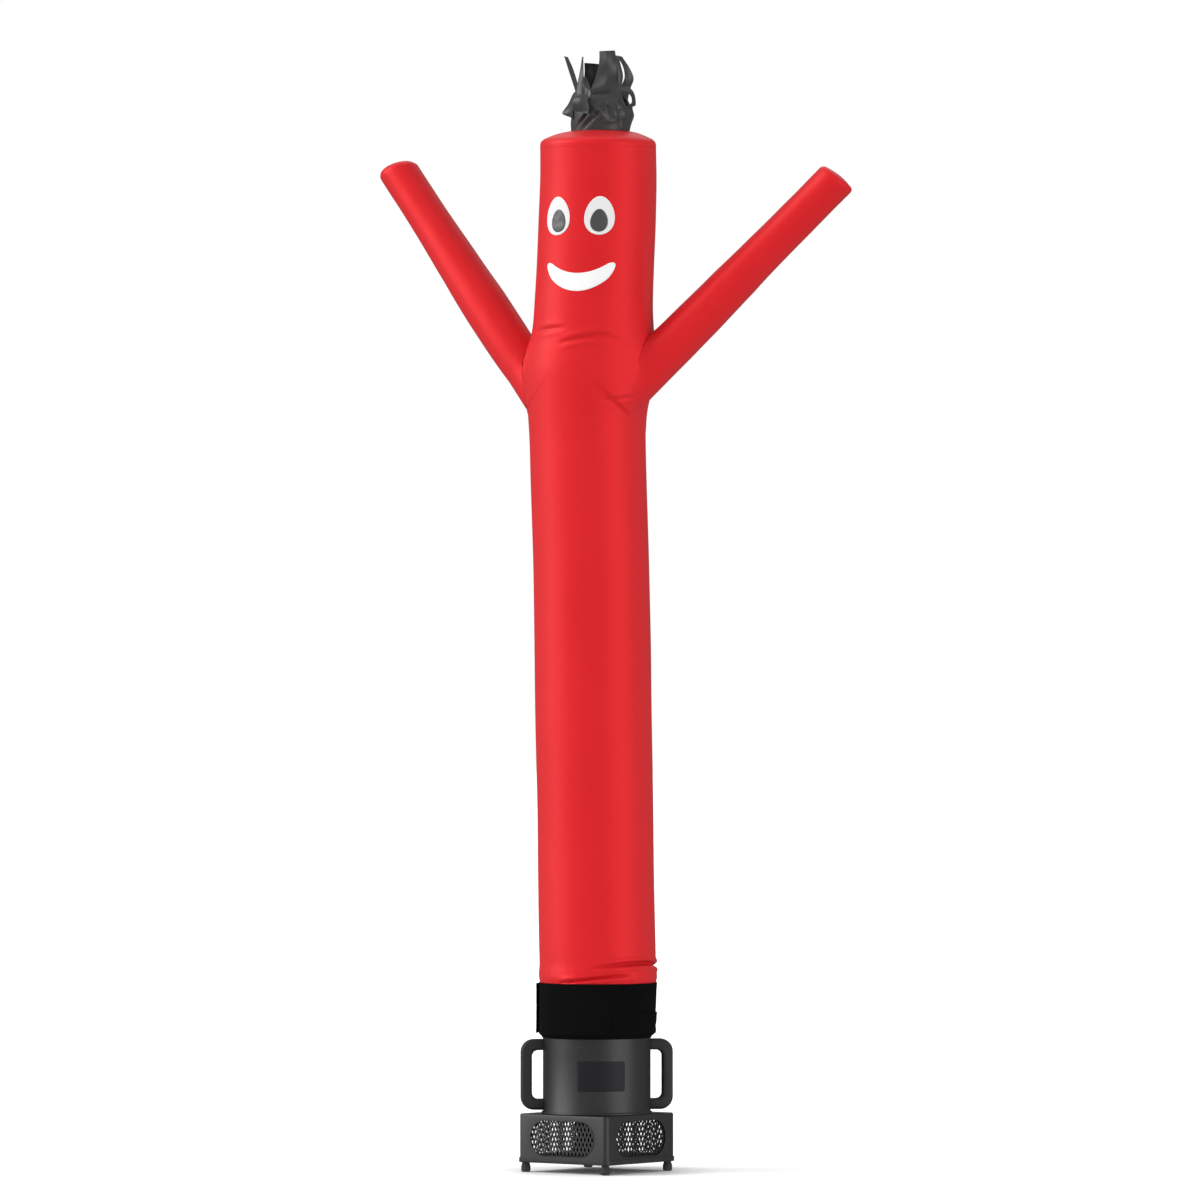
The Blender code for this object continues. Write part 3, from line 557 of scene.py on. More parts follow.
def snapHole(bm, arm):
    # Opens the tube under an arm and draws the edge of the hole to a circle.
    radius = arm["rows"][0][1] - armJoin["hole"]
    direction, side, depth = armAxes(arm)
    start = np.array(arm["start"])

    def armPlace(spot):
        # Along the arm, then away from its line.
        offset = np.array(spot) - start
        across = side * (offset @ side) + depth * (offset @ depth)
        return offset @ direction, across, np.linalg.norm(across)

    inside = []
    for face in bm.faces:
        along, across, reach = armPlace(face.calc_center_median())
        if along > armJoin["behind"] and reach < radius:
            inside.append(face)
    bmesh.ops.delete(bm, geom=inside, context="FACES")
    edge = {point for line in bm.edges if line.is_boundary for point in line.verts}
    for point in edge:
        along, across, reach = armPlace(point.co)
        if along > armJoin["behind"] and reach < radius + 0.012:
            spot = Vector(start + direction * along + across * (radius / reach))
            angle = math.degrees(math.atan2(spot.x - float(smoothRead(tubeRows, 1, spot.z)), -spot.y))
            point.co = Vector(tubePoints(np.array([angle]), np.array([spot.z]))[0])


def makeBody():
    bm = bmesh.new()
    angles = np.linspace(-180.0, 180.0, bodyTube["columns"] + 1)
    low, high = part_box("body_tube")[0].z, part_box("body_tube")[1].z
    heights = levels((low, 0.530, 0.015), (0.530, 0.625, 0.0019), (0.625, 2.150, 0.020),
                     (2.150, 2.440, 0.0052), (2.440, 2.890, 0.018), (2.890, high, 0.005))
    radius = bodyTube["cutRadius"]
    cutSheet(bm, angles, heights, fineTube, np.radians(angles) * radius, heights)
    closeSeams(bm)
    snapHole(bm, armLeft)
    snapHole(bm, armRight)
    piece = addPiece("bodyTube", bm, redNylon, ("body_tube",), bodyTube["wall"])


makeBody()
print("body tube made")


# Arms

def armRadius(arm, along):
    return smoothRead(arm["rows"], 1, along)


def rootPlace(arm, turn):
    # How far along the arm's line each side of it meets the tube.
    direction, side, depth = armAxes(arm)
    radius = arm["rows"][0][1]
    share = flareShare(arm, np.degrees(turn))
    radius = (radius + arm["armFlare"] * share)[:, None]
    ring = np.outer(np.cos(turn), side) + np.outer(np.sin(turn), depth)
    low, high = np.full(len(turn), armJoin["rootFrom"]), np.full(len(turn), armJoin["rootTo"])
    flare = arm["tubeFlare"] * share * math.exp(-arm["armFlare"] / armJoin["tubeRun"])
    for halving in range(30):
        middle = (low + high) / 2
        points = np.array(arm["start"]) + np.outer(middle, direction) + ring * radius
        across, back, height = points.T
        across = across - smoothRead(tubeRows, 1, height)
        angle = np.degrees(np.arctan2(across, -back))
        wall = np.hypot(across, back) - plainTube(angle, height, armJoin["gap"] + flare)
        low = np.where(wall < 0.0, middle, low)
        high = np.where(wall < 0.0, high, middle)
    return (low + high) / 2


def armPoints(arm, turnDegrees, share):
    # share runs 0 to 1 along the sleeve, then 1 to 2 across the closed tip.
    direction, side, depth = armAxes(arm)
    turn = np.radians(turnDegrees)
    unique, place = np.unique(np.round(turn, 6), return_inverse=True)
    root = rootPlace(arm, unique)[place]
    length = Vector(arm["reach"]).length
    corner = arm["corner"]
    sleeve = np.clip(share, 0.0, 1.0)
    bend = np.clip(share - 1.0, 0.0, 0.5) * 2.0 * (math.pi / 2)
    close = np.clip(share - 1.5, 0.0, 0.5) * 2.0
    along = root + (length - corner - root) * sleeve + corner * np.sin(bend)
    radius = armRadius(arm, along)
    full = armRadius(arm, np.array([length]))[0]
    radius = np.where(share > 1.0, full - corner * (1.0 - np.cos(bend)), radius)
    radius = radius * (1.0 - close)
    fromRoot = along - root
    flare = arm["armFlare"] * flareShare(arm, turnDegrees) * np.exp(-fromRoot / armJoin["armRun"])
    wave = puckerWave(turnDegrees, armJoin["puckers"])
    pucker = armJoin["pucker"] * wave * np.exp(-fromRoot / armJoin["puckerRun"])
    radius = radius + (flare + pucker) * (share < 1) - armJoin["dip"] * bell(fromRoot, armJoin["armDip"])
    tipWave = puckerWave(turnDegrees + 50.0, armJoin["tipPuckers"])
    tipPucker = armJoin["tipPucker"] * tipWave * bell(share - 1.25, 0.20)
    slant = arm["slant"] * np.clip((along - length + 2.6 * corner) / (2.0 * corner), 0.0, 1.0)
    across, back = radius * np.cos(turn), radius * np.sin(turn)
    dome = arm["bulge"] * close * (2.0 - close)
    points = np.array(arm["start"]) + np.outer(along + across * slant + dome, direction)
    points = points + across[:, None] * side + back[:, None] * depth
    swell = 0.0014 * softNoise(points, (5.0, 5.0, 3.0), arm["seed"])
    swell += 0.0006 * softNoise(points, (22, 22, 9), arm["seed"] + 1)
    outward = np.outer(np.cos(turn), side) + np.outer(np.sin(turn), depth)
    fade = np.clip(fromRoot / 0.03, 0.0, 1.0) * (1.0 - close)
    return points + outward * ((swell * fade + tipPucker) * (1.0 - close))[:, None]


def makeArm(arm):
    bm = bmesh.new()
    turns = np.linspace(0.0, 360.0, 73)
    shares = levels((0.0, 0.10, 0.0091), (0.10, 0.94, 0.0195), (0.94, 1.0, 0.015), (1.0, 1.5, 0.0625),
                    (1.5, 2.0, 0.0833))
    length = Vector(arm["reach"]).length
    radius = arm["rows"][0][1]
    run = np.minimum(shares, 1.0) * length + np.maximum(shares - 1.0, 0) * radius
    cutSheet(bm, turns, shares, lambda turn, share: armPoints(arm, turn, share), np.radians(turns) * radius,
             run, True)
    closeSeams(bm)
    piece = addPiece(arm["name"], bm, redNylon, (arm["node"],), bodyTube["wall"])
    width = math.tau * max(row[1] for row in arm["rows"])
    area = width * (length + radius) * armJoin["taper"]


makeArm(armLeft)
makeArm(armRight)
print("arms made")


# Head cap and hair

headCap = {
    "columns": 144, "wall": 0.0016, "pucker": 0.0004, "puckers": 52, "cutRadius": 0.12, "cutReach": 0.11,
    "domeRise": 0.020,
}
# height lean radius
capRows = (
    (2.9253, 0.0040, 0.1659), (2.9370, 0.0040, 0.1655), (2.9445, 0.0040, 0.1625), (2.9510, 0.0045, 0.1545),
    (2.9610, 0.0055, 0.1330), (2.9695, 0.0075, 0.1080), (2.9755, 0.0095, 0.0780),
)
hair = {
    "columns": 10, "steps": 7, "wall": 0.0011, "scale": 0.00286, "viewTurn": 20.0, "cutRadius": 0.086,
    "girthRadius": 0.087,
}
skirtRows = (
    (2.9752, 0.0110, 0.0840), (2.9960, 0.0130, 0.0862), (3.0200, 0.0175, 0.0890), (3.0440, 0.0130, 0.0862),
)
# angleFrom heightFrom angleTo heightTo depth width, one line for each crease pressed into the skirt
skirtCreases = (
    (-15, 2.976, 10, 3.022, 0.0110, 0.0050), (37, 3.006, 34, 3.044, 0.0150, 0.0040),
    (35, 3.008, 20, 3.044, 0.0110, 0.0055), (62, 2.976, 54, 3.036, 0.0040, 0.0060),
    (78, 3.010, 96, 3.044, 0.0050, 0.0070), (-34, 2.977, -12, 3.018, 0.0080, 0.0042),
    (-52, 2.990, -40, 3.044, 0.0075, 0.0050), (-80, 2.976, -66, 3.040, 0.0050, 0.0070),
    (118, 2.978, 130, 3.044, 0.0060, 0.0070), (158, 2.990, 146, 3.044, 0.0060, 0.0080),
    (178, 2.977, 190, 3.040, 0.0070, 0.0070), (216, 2.986, 206, 3.044, 0.0060, 0.0070),
    (238, 2.976, 250, 3.036, 0.0050, 0.0060),
)
# Ribbons: the angles of the root, then rows of the left edge and the right edge as seen from the camera,
# each across, up and towards the camera from the middle of the skirt's top, in steps of hair scale
ribbons = (
    (-8, 52, (
        (-13, 8, 25, 17, 8, 23), (-11, 15, 19, 18, 16, 18), (-5.5, 28, 20, 17.5, 28, 13),
        (-2, 42, 22, 16, 43, 11), (-1.5, 54.5, 24, 14, 56, 9),
    )),
    (52, 80, (
        (15, 5, 21, 23, 4, 17), (16, 16, 17, 20.5, 17, 13), (17, 30, 14, 22, 30, 9),
        (15, 42, 12, 19.6, 42, 8), (14, 51, 11, 17.4, 50.5, 8),
    )),
    (80, 104, (
        (31, 4, 9, 34.6, 2, 0), (29.5, 11, 11, 33.5, 13, 1), (24, 15, 13, 28, 19.5, 4),
        (17.5, 17, 13, 19.5, 23, 6),
    )),
    (104, 122, (
        (28, 1, 3, 31.5, -1, -7), (23, 5, 9, 26, 3, 1), (18, 10, 13, 20, 5, 8),
    )),
    (122, 136, (
        (26, 5, -8, 27.5, 6, -14), (21.5, 11, 0, 23, 12.5, -6), (16, 16, 6, 17.5, 17.5, 0),
    )),
    (136, 164, (
        (20, 9, -8, 27, 9, -13), (20, 20, -6, 29.5, 20, -11), (23.5, 30, -3, 32.5, 29, -9),
        (22, 40, 0, 28.5, 39, -7), (15.5, 51.5, 2, 21, 50.5, -5),
    )),
    (164, 196, (
        (5, 12, -24, 15, 12, -21), (2, 26, -20, 14, 26, -18), (1.5, 40, -16, 13, 39, -14),
        (1, 50, -12, 12, 48, -10),
    )),
    (196, 222, (
        (-13, 12, -24, 1, 12, -25), (-14, 26, -20, 0, 27, -21), (-13, 38, -15, -1, 38, -17),
    )),
    (222, 246, (
        (-19, 11, -14, -8, 11, -12), (-17.5, 22, -8, 1, 22, -9), (-16.5, 34, -3, 3, 32, -4),
        (-16.7, 44, 1, 2, 42.4, -2),
    )),
    (246, 268, (
        (-25, 13, -17, -21, 13, -8), (-28.2, 25, -16, -23.8, 26, -6), (-32.6, 39, -15, -28.2, 39, -5),
        (-36.8, 52, -18, -33, 50.5, -9),
    )),
    (268, 298, (
        (-28, 12, -7, -23, 16, 6), (-33, 3, -3, -25, 6, 12), (-38.8, -6, 1, -28, -4, 13),
        (-34.5, -9.2, 3, -28.5, -12.6, 11),
    )),
    (298, 316, (
        (-25, 9, 12, -18.5, 8, 17), (-23.6, 22, 7, -17, 22, 12), (-21.2, 36, 4, -17.6, 36, 8),
        (-18.9, 50, 3, -18.1, 50, 5),
    )),
    (316, 334, (
        (-26.5, 8, 17, -14, 7, 24), (-25, 11.5, 21, -12.5, 9.5, 29), (-27, 7, 27, -13, 5, 34),
        (-28.4, 0, 29, -12, -3, 36), (-27, -6, 28, -13, -8.5, 35),
    )),
    (334, 352, (
        (-20, 9, 21, -11, 10, 25), (-18.6, 19, 18, -10.6, 16, 24), (-18.4, 26, 18, -13, 24, 23),
        (-17.8, 28.5, 21, -15, 28.5, 25),
    )),
)


def capPoints(angle, share):
    # share runs 0 to 1 from the tube's top to the rim of the outlet.
    place = share * (len(capRows) - 1)
    rows = [(i, *row) for i, row in enumerate(capRows)]
    height, lean = smoothRead(rows, 1, place), smoothRead(rows, 2, place)
    radius = smoothRead(rows, 3, place)
    points = aroundAxis(angle, radius, height, lean)
    beside = bell(share - 0.46, 0.10) + bell(share, 0.08)
    pucker = headCap["pucker"] * puckerWave(angle, headCap["puckers"]) * beside
    swell = 0.0010 * softNoise(points, (14.0, 14.0, 14.0), 8) * np.sin(np.pi * np.clip(share, 0, 1))
    seam = 0.0004 * bell(share - 0.50, 0.035) - 0.0004 * bell(share - 0.44, 0.030)
    lift = pucker + swell + seam
    top = np.full(np.shape(angle), capRows[0][0])
    rim = fineTube(angle, top) - tubePoints(angle, top)
    points = points + rim * (np.clip(1.0 - share, 0.0, 1.0) ** 5)[..., None]
    points[..., 2] += lift * np.clip(share * 1.6, 0.0, 1.0)
    spread = (lift * (1.0 - share))[..., None] * points[..., :2]
    points[..., :2] += spread / np.maximum(radius, 0.05)[..., None]
    return points


def makeCap():
    bm = bmesh.new()
    angles = np.linspace(-180.0, 180.0, headCap["columns"] + 1)
    shares = np.linspace(0.0, 1.0, 31)
    flatAcross = np.radians(angles) * headCap["cutRadius"]
    cutSheet(bm, angles, shares, capPoints, flatAcross, shares * headCap["cutReach"])
    closeSeams(bm)
    piece = addPiece("headCap", bm, redNylon, ("head_cap",), headCap["wall"])
    across = 2 * (capRows[0][2] + headCap["domeRise"])
    hole = capRows[-1][2]
    area = math.pi * (across * across / 4 - hole * hole)


def creaseDepth(angle, height, creases, radius):
    # How deep lines pressed into a round piece of cloth go at each place.
    total = np.zeros(np.broadcast(angle, height).shape)
    for angleFrom, heightFrom, angleTo, heightTo, depth, width in creases:
        across = np.radians(wrapped(angle - angleFrom)) * radius
        up = height - heightFrom
        runAcross = math.radians(angleTo - angleFrom) * radius
        runUp = heightTo - heightFrom
        share = np.clip((across * runAcross + up * runUp) / (runAcross ** 2 + runUp ** 2), 0.0, 1.0)
        away = np.hypot(across - runAcross * share, up - runUp * share)
        total += depth * (bell(away, width) - 0.42 * bell(away - 2.0 * width, width)) * (0.25 + 0.75 * share)
    return total


def skirtPoints(angle, height):
    radius = smoothRead(skirtRows, 2, height)
    points = aroundAxis(angle, radius, height, smoothRead(skirtRows, 1, height))
    low, high = skirtRows[0][0], skirtRows[-1][0]
    free = np.clip((height - low) / (0.35 * (high - low)), 0.0, 1.0)
    lift = -creaseDepth(angle, height, skirtCreases, hair["girthRadius"]) * free
    lift += 0.0004 * softNoise(points, (16.0, 16.0, 12.0), 31) * free
    points[..., :2] += lift[..., None] * points[..., :2] / radius[..., None]
    return points


def ribbonPoints(number, across, step):
    # across runs 0 to 1 from the left edge to the right, and step counts its rows from the skirt.
    angleFrom, angleTo, rows = ribbons[number]
    turn = math.radians(hair["viewTurn"])
    aside, away = math.cos(turn), math.sin(turn)
    ways = np.array(((aside, away, 0.0), (0.0, 0.0, 1.0), (away, -aside, 0.0)))
    height, lean = skirtRows[-1][0], skirtRows[-1][1]
    middle = np.array((lean, 0.0, height))
    ring = skirtPoints(angleFrom + (angleTo - angleFrom) * across, np.full(len(across), height))
    ends = skirtPoints(np.array((angleFrom, angleTo), float), np.full(2, height))
    first = [list((ends[k] - middle) @ ways.T / hair["scale"]) for k in (0, 1)]
    if first[0][0] > first[1][0]:
        first.reverse()
        across = 1.0 - across
    table = [(0, *first[0], *first[1])] + [(i + 1, *row) for i, row in enumerate(rows)]
    left = np.stack([smoothRead(table, column, step) for column in (1, 2, 3)], axis=-1)
    right = np.stack([smoothRead(table, column, step) for column in (4, 5, 6)], axis=-1)
    place = left + (right - left) * across[:, None]
    free = np.clip(step / len(rows), 0.0, 1.0)
    width = np.linalg.norm(right - left, axis=1)
    bow = 0.10 * width * np.sin(np.pi * across) * np.sin(number * 2.1 + step * 1.7)
    ripple = 0.12 * np.sin(step * 3.1 + number * 1.3 + across * 2.6) * np.clip(step, 0.0, 1.0)
    creaseAt = 0.22 * math.sin(number * 1.7) * (0.5 - free)
    crease = -0.5 * bell(across - 0.5 - creaseAt, 0.09) * math.cos(number * 2.7)
    normal = np.cross(right - left, np.gradient(left + right, axis=0) + np.array((0.0, 1e-6, 0.0)))
    normal /= np.maximum(np.linalg.norm(normal, axis=1, keepdims=True), 1e-6)
    place = place + normal * ((bow + ripple + crease) * np.clip(step, 0.0, 1.0))[:, None]
    points = middle + (place * hair["scale"]) @ ways
    # The first step runs smoothly out of the skirt's own wavy edge.
    blend = np.clip(step, 0.0, 1.0)[:, None]
    straight = middle + ((left + (right - left) * across[:, None]) * hair["scale"]) @ ways
    points = points + (1.0 - blend) * (1.0 - blend) * (ring - straight) * (step[:, None] < 1.0)
    return np.where(step[:, None] <= 0.0, ring, points)


def ribbonSheet(bm, number):
    # One ribbon's grid, row by row so that its normals are known along it.
    columns = hair["columns"]
    angleFrom, angleTo, rows = ribbons[number]
    across = np.linspace(0.0, 1.0, columns + 1)
    steps = np.linspace(0.0, len(rows), hair["steps"] * len(rows) + 1)
    lines = [ribbonPoints(number, np.full(len(steps), share), steps) for share in across]
    table = np.stack(lines, axis=0)
    middle = table[columns // 2]
    run = np.concatenate([[0.0], np.cumsum(np.linalg.norm(np.diff(middle, axis=0), axis=1))])
    columnAt = {round(float(share), 6): i for i, share in enumerate(across)}
    rowAt = {round(float(step), 6): i for i, step in enumerate(steps)}

    def place(share, step):
        i = [columnAt[round(float(value), 6)] for value in share]
        j = [rowAt[round(float(value), 6)] for value in step]
        return table[i, j]

    skirtHigh = skirtRows[-1][0] - skirtRows[0][0]
    flatAcross = np.radians(angleFrom + (angleTo - angleFrom) * across) * hair["cutRadius"]
    cutSheet(bm, across, steps, place, flatAcross, run + skirtHigh)
    return run[-1]


def makeHair():
    bm = bmesh.new()
    roots = [np.linspace(first, last, hair["columns"] + 1) for first, last, rows in ribbons]
    angles = np.unique(np.concatenate(roots))
    heights = levels((skirtRows[0][0], skirtRows[-1][0], 0.0035))
    flatAcross = np.radians(angles) * hair["cutRadius"]
    cutSheet(bm, angles, heights, skirtPoints, flatAcross, heights - skirtRows[0][0])
    lengths = [ribbonSheet(bm, number) for number in range(len(ribbons))]
    closeSeams(bm, 2e-5)
    piece = addPiece("hairCloth", bm, hairNylon, ("hair",), hair["wall"])
    skirtHigh = heights[-1] - heights[0]
    flat = (math.tau * hair["girthRadius"], skirtHigh + max(lengths))
    area = flat[0] * skirtHigh + sum(lengths) * flat[0] / len(ribbons)


makeCap()
makeHair()
print("head made")


# Face

face = {
    "eyeAngle": 22.4, "eyeHeight": 2.7275, "eyeHalf": (0.0435, 0.0548), "pupilDrop": 0.014,
    "pupilAngle": (-20.4, 22.0), "pupilHalf": (0.0250, 0.0325), "narrowing": 0.16, "lift": 0.0006,
    "thick": 0.0010, "edge": 0.0026, "stitchInset": 0.0045, "cutRadius": 0.168,
}
mouth = {
    "angle": 3.1, "halfAngle": 36.9, "middle": 2.5385, "rise": 0.0483, "half": 0.0256, "thinning": 0.0057,
    "round": 0.24, "lift": 0.0006, "thick": 0.0010, "edge": 0.0026, "reach": 0.113,
    "flat": (0.218, 0.090), "fill": 0.51,
}


def fineRadius(height):
    return smoothRead(tubeRows, 2, height)


def domeEdge(inward, thick, edge):
    # A patch's thickness, rounded off at its turned edge.
    inside = np.clip(inward / edge, 0.0, 1.0)
    return thick * np.sqrt(1.0 - (1.0 - inside) ** 2)


def ovalPatch(name, angle, height, half, lift, finish, node):
    bm = bmesh.new()
    turns = np.linspace(0.0, 360.0, 73)
    edgeShare = 1.0 - face["edge"] / half[0]
    turnedEdge = edgeShare + (1 - edgeShare) * np.array([0.4, 0.75, 1])
    shares = np.concatenate([[0.0], np.linspace(0.12, edgeShare, 9), turnedEdge])

    def place(turn, share):
        rise = np.sin(np.radians(turn))
        side = half[0] * share * np.cos(np.radians(turn)) * (1.0 - face["narrowing"] * rise)
        level = height + half[1] * share * rise
        inward = (1.0 - share) * half[0]
        thick = domeEdge(inward, face["thick"], face["edge"])
        flat = np.stack([side, level, side * 0], axis=-1)
        quilt = 0.0005 * softNoise(flat, (60, 60, 60), 11) * (share < 0.98)
        return fineTubeLift(angle + np.degrees(side / fineRadius(level)), level, lift + thick + quilt)

    cutSheet(bm, turns, shares, place, np.radians(turns) * half[0], shares * half[0], True)
    closeSeams(bm)
    flatMap(bm, angle)
    piece = addPiece(name, bm, finish, (node,), face["thick"] * 0.8)
    turnLine = np.linspace(0.0, 360.0, 121)
    seam = place(turnLine, np.full(len(turnLine), 1.0 - face["stitchInset"] / half[0]))
    return seam, levelOut(place(turnLine, np.full(len(turnLine), 0.9)))


def fineTubeLift(angle, height, lift):
    base = fineTube(angle, height)
    turn = np.radians(angle)
    outward = np.stack([np.sin(turn), -np.cos(turn), np.zeros_like(turn)], axis=-1)
    return base + outward * np.asarray(lift)[..., None]


def flatMap(bm, angle):
    # The UV map of a patch, in metres across and up from its middle angle.
    uvLayer = bm.loops.layers.uv.verify()
    for side in bm.faces:
        for loop in side.loops:
            spot = loop.vert.co
            turn = wrapped(math.degrees(math.atan2(spot.x, -spot.y)) - angle)
            loop[uvLayer].uv = (math.radians(turn) * face["cutRadius"], spot.z)


def makeFace():
    eyeLines, pupilLines = [], []
    pupilHeight = face["eyeHeight"] - face["pupilDrop"]
    pupilLift = face["lift"] + face["thick"] + 0.0002
    for name, side, pupilAngle in zip(("Left", "Right"), (-1, 1), face["pupilAngle"]):
        angle = face["eyeAngle"] * side
        eyeLines.append(ovalPatch("eye" + name, angle, face["eyeHeight"], face["eyeHalf"], face["lift"],
                                  eyeCloth, "eye_" + name.lower()))
        pupilLines.append(ovalPatch("pupil" + name, pupilAngle, pupilHeight, face["pupilHalf"], pupilLift,
                                    pupilCloth, "pupil_" + name.lower()))
    return eyeLines, pupilLines


def mouthEdges(share):
    # A smile of nearly even height with round ends.
    bend = share * share
    end = np.clip((np.abs(share) - 1.0 + mouth["round"]) / mouth["round"], 0.0, 1.0)
    half = (mouth["half"] - mouth["thinning"] * bend) * (1.0 - end * end) ** 0.6
    middle = mouth["middle"] + mouth["rise"] * bend
    return middle + half, middle - half


def mouthPlace(share, band):
    # share runs -1 to 1 from end to end, and band 0 to 1 from the lower edge to the upper one.
    upper, lower = mouthEdges(share)
    level = lower + (upper - lower) * band
    fromEnd = (1.0 - np.abs(share)) * mouth["reach"]
    inward = np.minimum(np.minimum(band, 1.0 - band) * (upper - lower), fromEnd)
    thick = domeEdge(inward, mouth["thick"], mouth["edge"])
    return fineTubeLift(mouth["angle"] + mouth["halfAngle"] * share, level, mouth["lift"] + thick)


def makeMouth():
    bm = bmesh.new()
    bend = np.linspace(-math.pi / 2, math.pi / 2, 81)
    shares = np.sin(bend) * 0.80 + bend / (math.pi / 2) * 0.20
    bands = np.concatenate([[0.0, 0.02, 0.05, 0.09], np.linspace(0.16, 0.84, 7), [0.91, 0.95, 0.98, 1.0]])
    cutSheet(bm, shares, bands, mouthPlace, shares * mouth["reach"], bands * 0.05)
    closeSeams(bm)
    flatMap(bm, 0.0)
    piece = addPiece("mouthPatch", bm, mouthCloth, ("mouth",), mouth["thick"] * 0.8)
    lines = []
    share = np.linspace(-0.965, 0.965, 90)
    for edge in (0, 1):
        upper, lower = mouthEdges(share)
        band = np.clip(face["stitchInset"] / np.maximum(upper - lower, 0.002), 0.0, 0.42)
        spots = mouthPlace(share, band if edge == 0 else 1.0 - band)
        lines.append((spots, levelOut(spots)))
    return lines


eyeLines, pupilLines = makeFace()
mouthLines = makeMouth()
stitchLook = {"pitch": 0.0034, "length": 0.38, "thick": 0.00045, "flatness": 0.7, "rise": 0.0001}
stitches("faceStitches", eyeLines + mouthLines, stitchLook, eyeCloth)
stitches("pupilStitches", pupilLines, stitchLook, pupilCloth)
print("face made")


# Collar

collar = {
    "columns": 144, "wall": 0.0018, "hem": 0.014, "hemRise": 0.0011, "pucker": 0.0008, "cutRadius": 0.1675,
    "strapWall": 0.0011,
}
# height lean radius
collarRows = (
    (0.3835, 0.000, 0.15635), (0.3870, 0.000, 0.15635), (0.3945, 0.000, 0.1652), (0.4600, 0.002, 0.1670),
    (0.5200, 0.0035, 0.1682), (0.5410, 0.004, 0.1686),
)
# angle lift
flapColumns = ((-118, 0.0), (-90, 0.001), (-78, 0.0035), (-66, 0.0065))
strapColumns = ((35, 0.0), (75, 0.0005), (105, 0.002), (128, 0.0))
flapHeights = (0.396, 0.538)
strapHeights = (0.397, 0.456)


def plainRead(rows, column, place):
    return np.interp(place, [row[0] for row in rows], [row[column] for row in rows])


def collarPoints(angle, height, lift=0.0):
    radius = plainRead(collarRows, 2, height) + lift
    top, foot = collarRows[-1][0], collarRows[2][0]
    hems = (height > top - collar["hem"]) * 1.0 + (height < foot + collar["hem"]) * 1.0
    radius = radius + collar["hemRise"] * 0.35 * hems
    free = np.clip((height - 0.3945) / 0.03, 0.0, 1.0)
    points = aroundAxis(angle, radius, height, plainRead(collarRows, 1, height))
    gather = 0.5 * puckerWave(angle, 26) * bell(height - 0.405, 0.03)
    wrinkle = collar["pucker"] * (gather + softNoise(points, (26, 26, 8), 21))
    radius = radius + wrinkle * free * 0.6 - np.maximum(wrinkle, 0) * 0.3 * free
    return aroundAxis(angle, np.minimum(radius, plainRead(collarRows, 2, height) + lift + 0.0012), height,
                      plainRead(collarRows, 1, height))


def makeCollar():
    bm = bmesh.new()
    angles = np.linspace(-180.0, 180.0, collar["columns"] + 1)
    low, high = collarRows[0][0], collarRows[-1][0]
    heights = levels((low, 0.387, 0.0035), (0.387, 0.3945, 0.0025), (0.3945, 0.530, 0.006),
                     (0.530, high, 0.0037))
    radius = collar["cutRadius"]
    cutSheet(bm, angles, heights, collarPoints, np.radians(angles) * radius, heights)
    closeSeams(bm)
    piece = addPiece("collarCuff", bm, collarCloth, ("collar",), collar["wall"])


def makeBand(name, columns, heights, node, foldBack):
    # A strap or flap that lies on the collar and lifts off it towards one end.
    bm = bmesh.new()
    angles = np.linspace(columns[0][0], columns[-1][0], 61)
    ups = np.linspace(heights[0], heights[1], 17)

    def place(angle, height):
        middle = (heights[0] + heights[1]) / 2
        half = (heights[1] - heights[0]) / 2
        edge = np.clip(1.0 - np.abs(height - middle) / half, 0.0, 1.0)
        lift = plainRead(columns, 1, angle) + 0.0012
        sag = foldBack * bell(height - middle - 0.012 * np.sin(np.radians(angle * 3)), 0.007)
        sag = sag + foldBack * 0.6 * bell(height - middle + 0.014 - 0.00010 * (angle - 70), 0.004)
        return collarPoints(angle, height, 0.0009 + lift - sag * np.clip(edge * 4, 0, 1))

    radius = collar["cutRadius"]
    cutSheet(bm, angles, ups, place, np.radians(angles) * radius, ups)
    piece = addPiece(name, bm, collarCloth, (node,), collar["strapWall"])


makeCollar()
makeBand("collarFlap", flapColumns, flapHeights, "collar_flap", 0.0004)
makeBand("strapTail", strapColumns, strapHeights, "strap_tail", 0.0011)
print("collar made")


# Blower

drum = {
    "radius": 0.154, "wall": 0.003, "top": 0.500, "flange": 0.004, "flangeHeight": 0.006, "sides": 128,
    "rivets": ((2.0, 0.3595), (25.5, 0.3585), (11.0, 0.3365)), "rivetRadius": 0.0028,
}
box = {
    "side": 0.320, "top": 0.167, "wall": 0.003, "corner": 0.014, "edge": 0.004,
    "windowLength": 0.230, "windowHeight": 0.101, "windowMiddle": 0.099, "lip": 0.0022,
}
tray = {"low": 0.028, "high": 0.042, "wall": 0.0027, "edge": 0.003}
grille = {"lap": 0.007, "thick": 0.0016, "wide": 0.0132, "tall": 0.0285, "strand": 0.0041, "wave": 0.00045}
feet = {"ring": 0.204, "sides": 32}
footRows = ((0.0, 0.0), (0.0095, 0.0), (0.0118, 0.0012), (0.0131, 0.0040), (0.0135, 0.0085), (0.0134, 0.0150),
            (0.0126, 0.0200), (0.0112, 0.0225), (0.0110, 0.0277), (0.0, 0.0277))
handles = {
    "angles": (-63, 117), "low": 0.1770, "high": 0.3795, "reach": 0.065, "bar": 0.032, "depth": 0.028,
    "corner": 0.037, "inner": 0.017, "edge": 0.009,
}
label = {"angle": 24.9, "half": 26.2, "low": 0.235, "high": 0.321, "thick": 0.0008, "corner": 0.006}
gland = {"radius": 0.009, "length": 0.018, "across": -0.132, "height": 0.062}


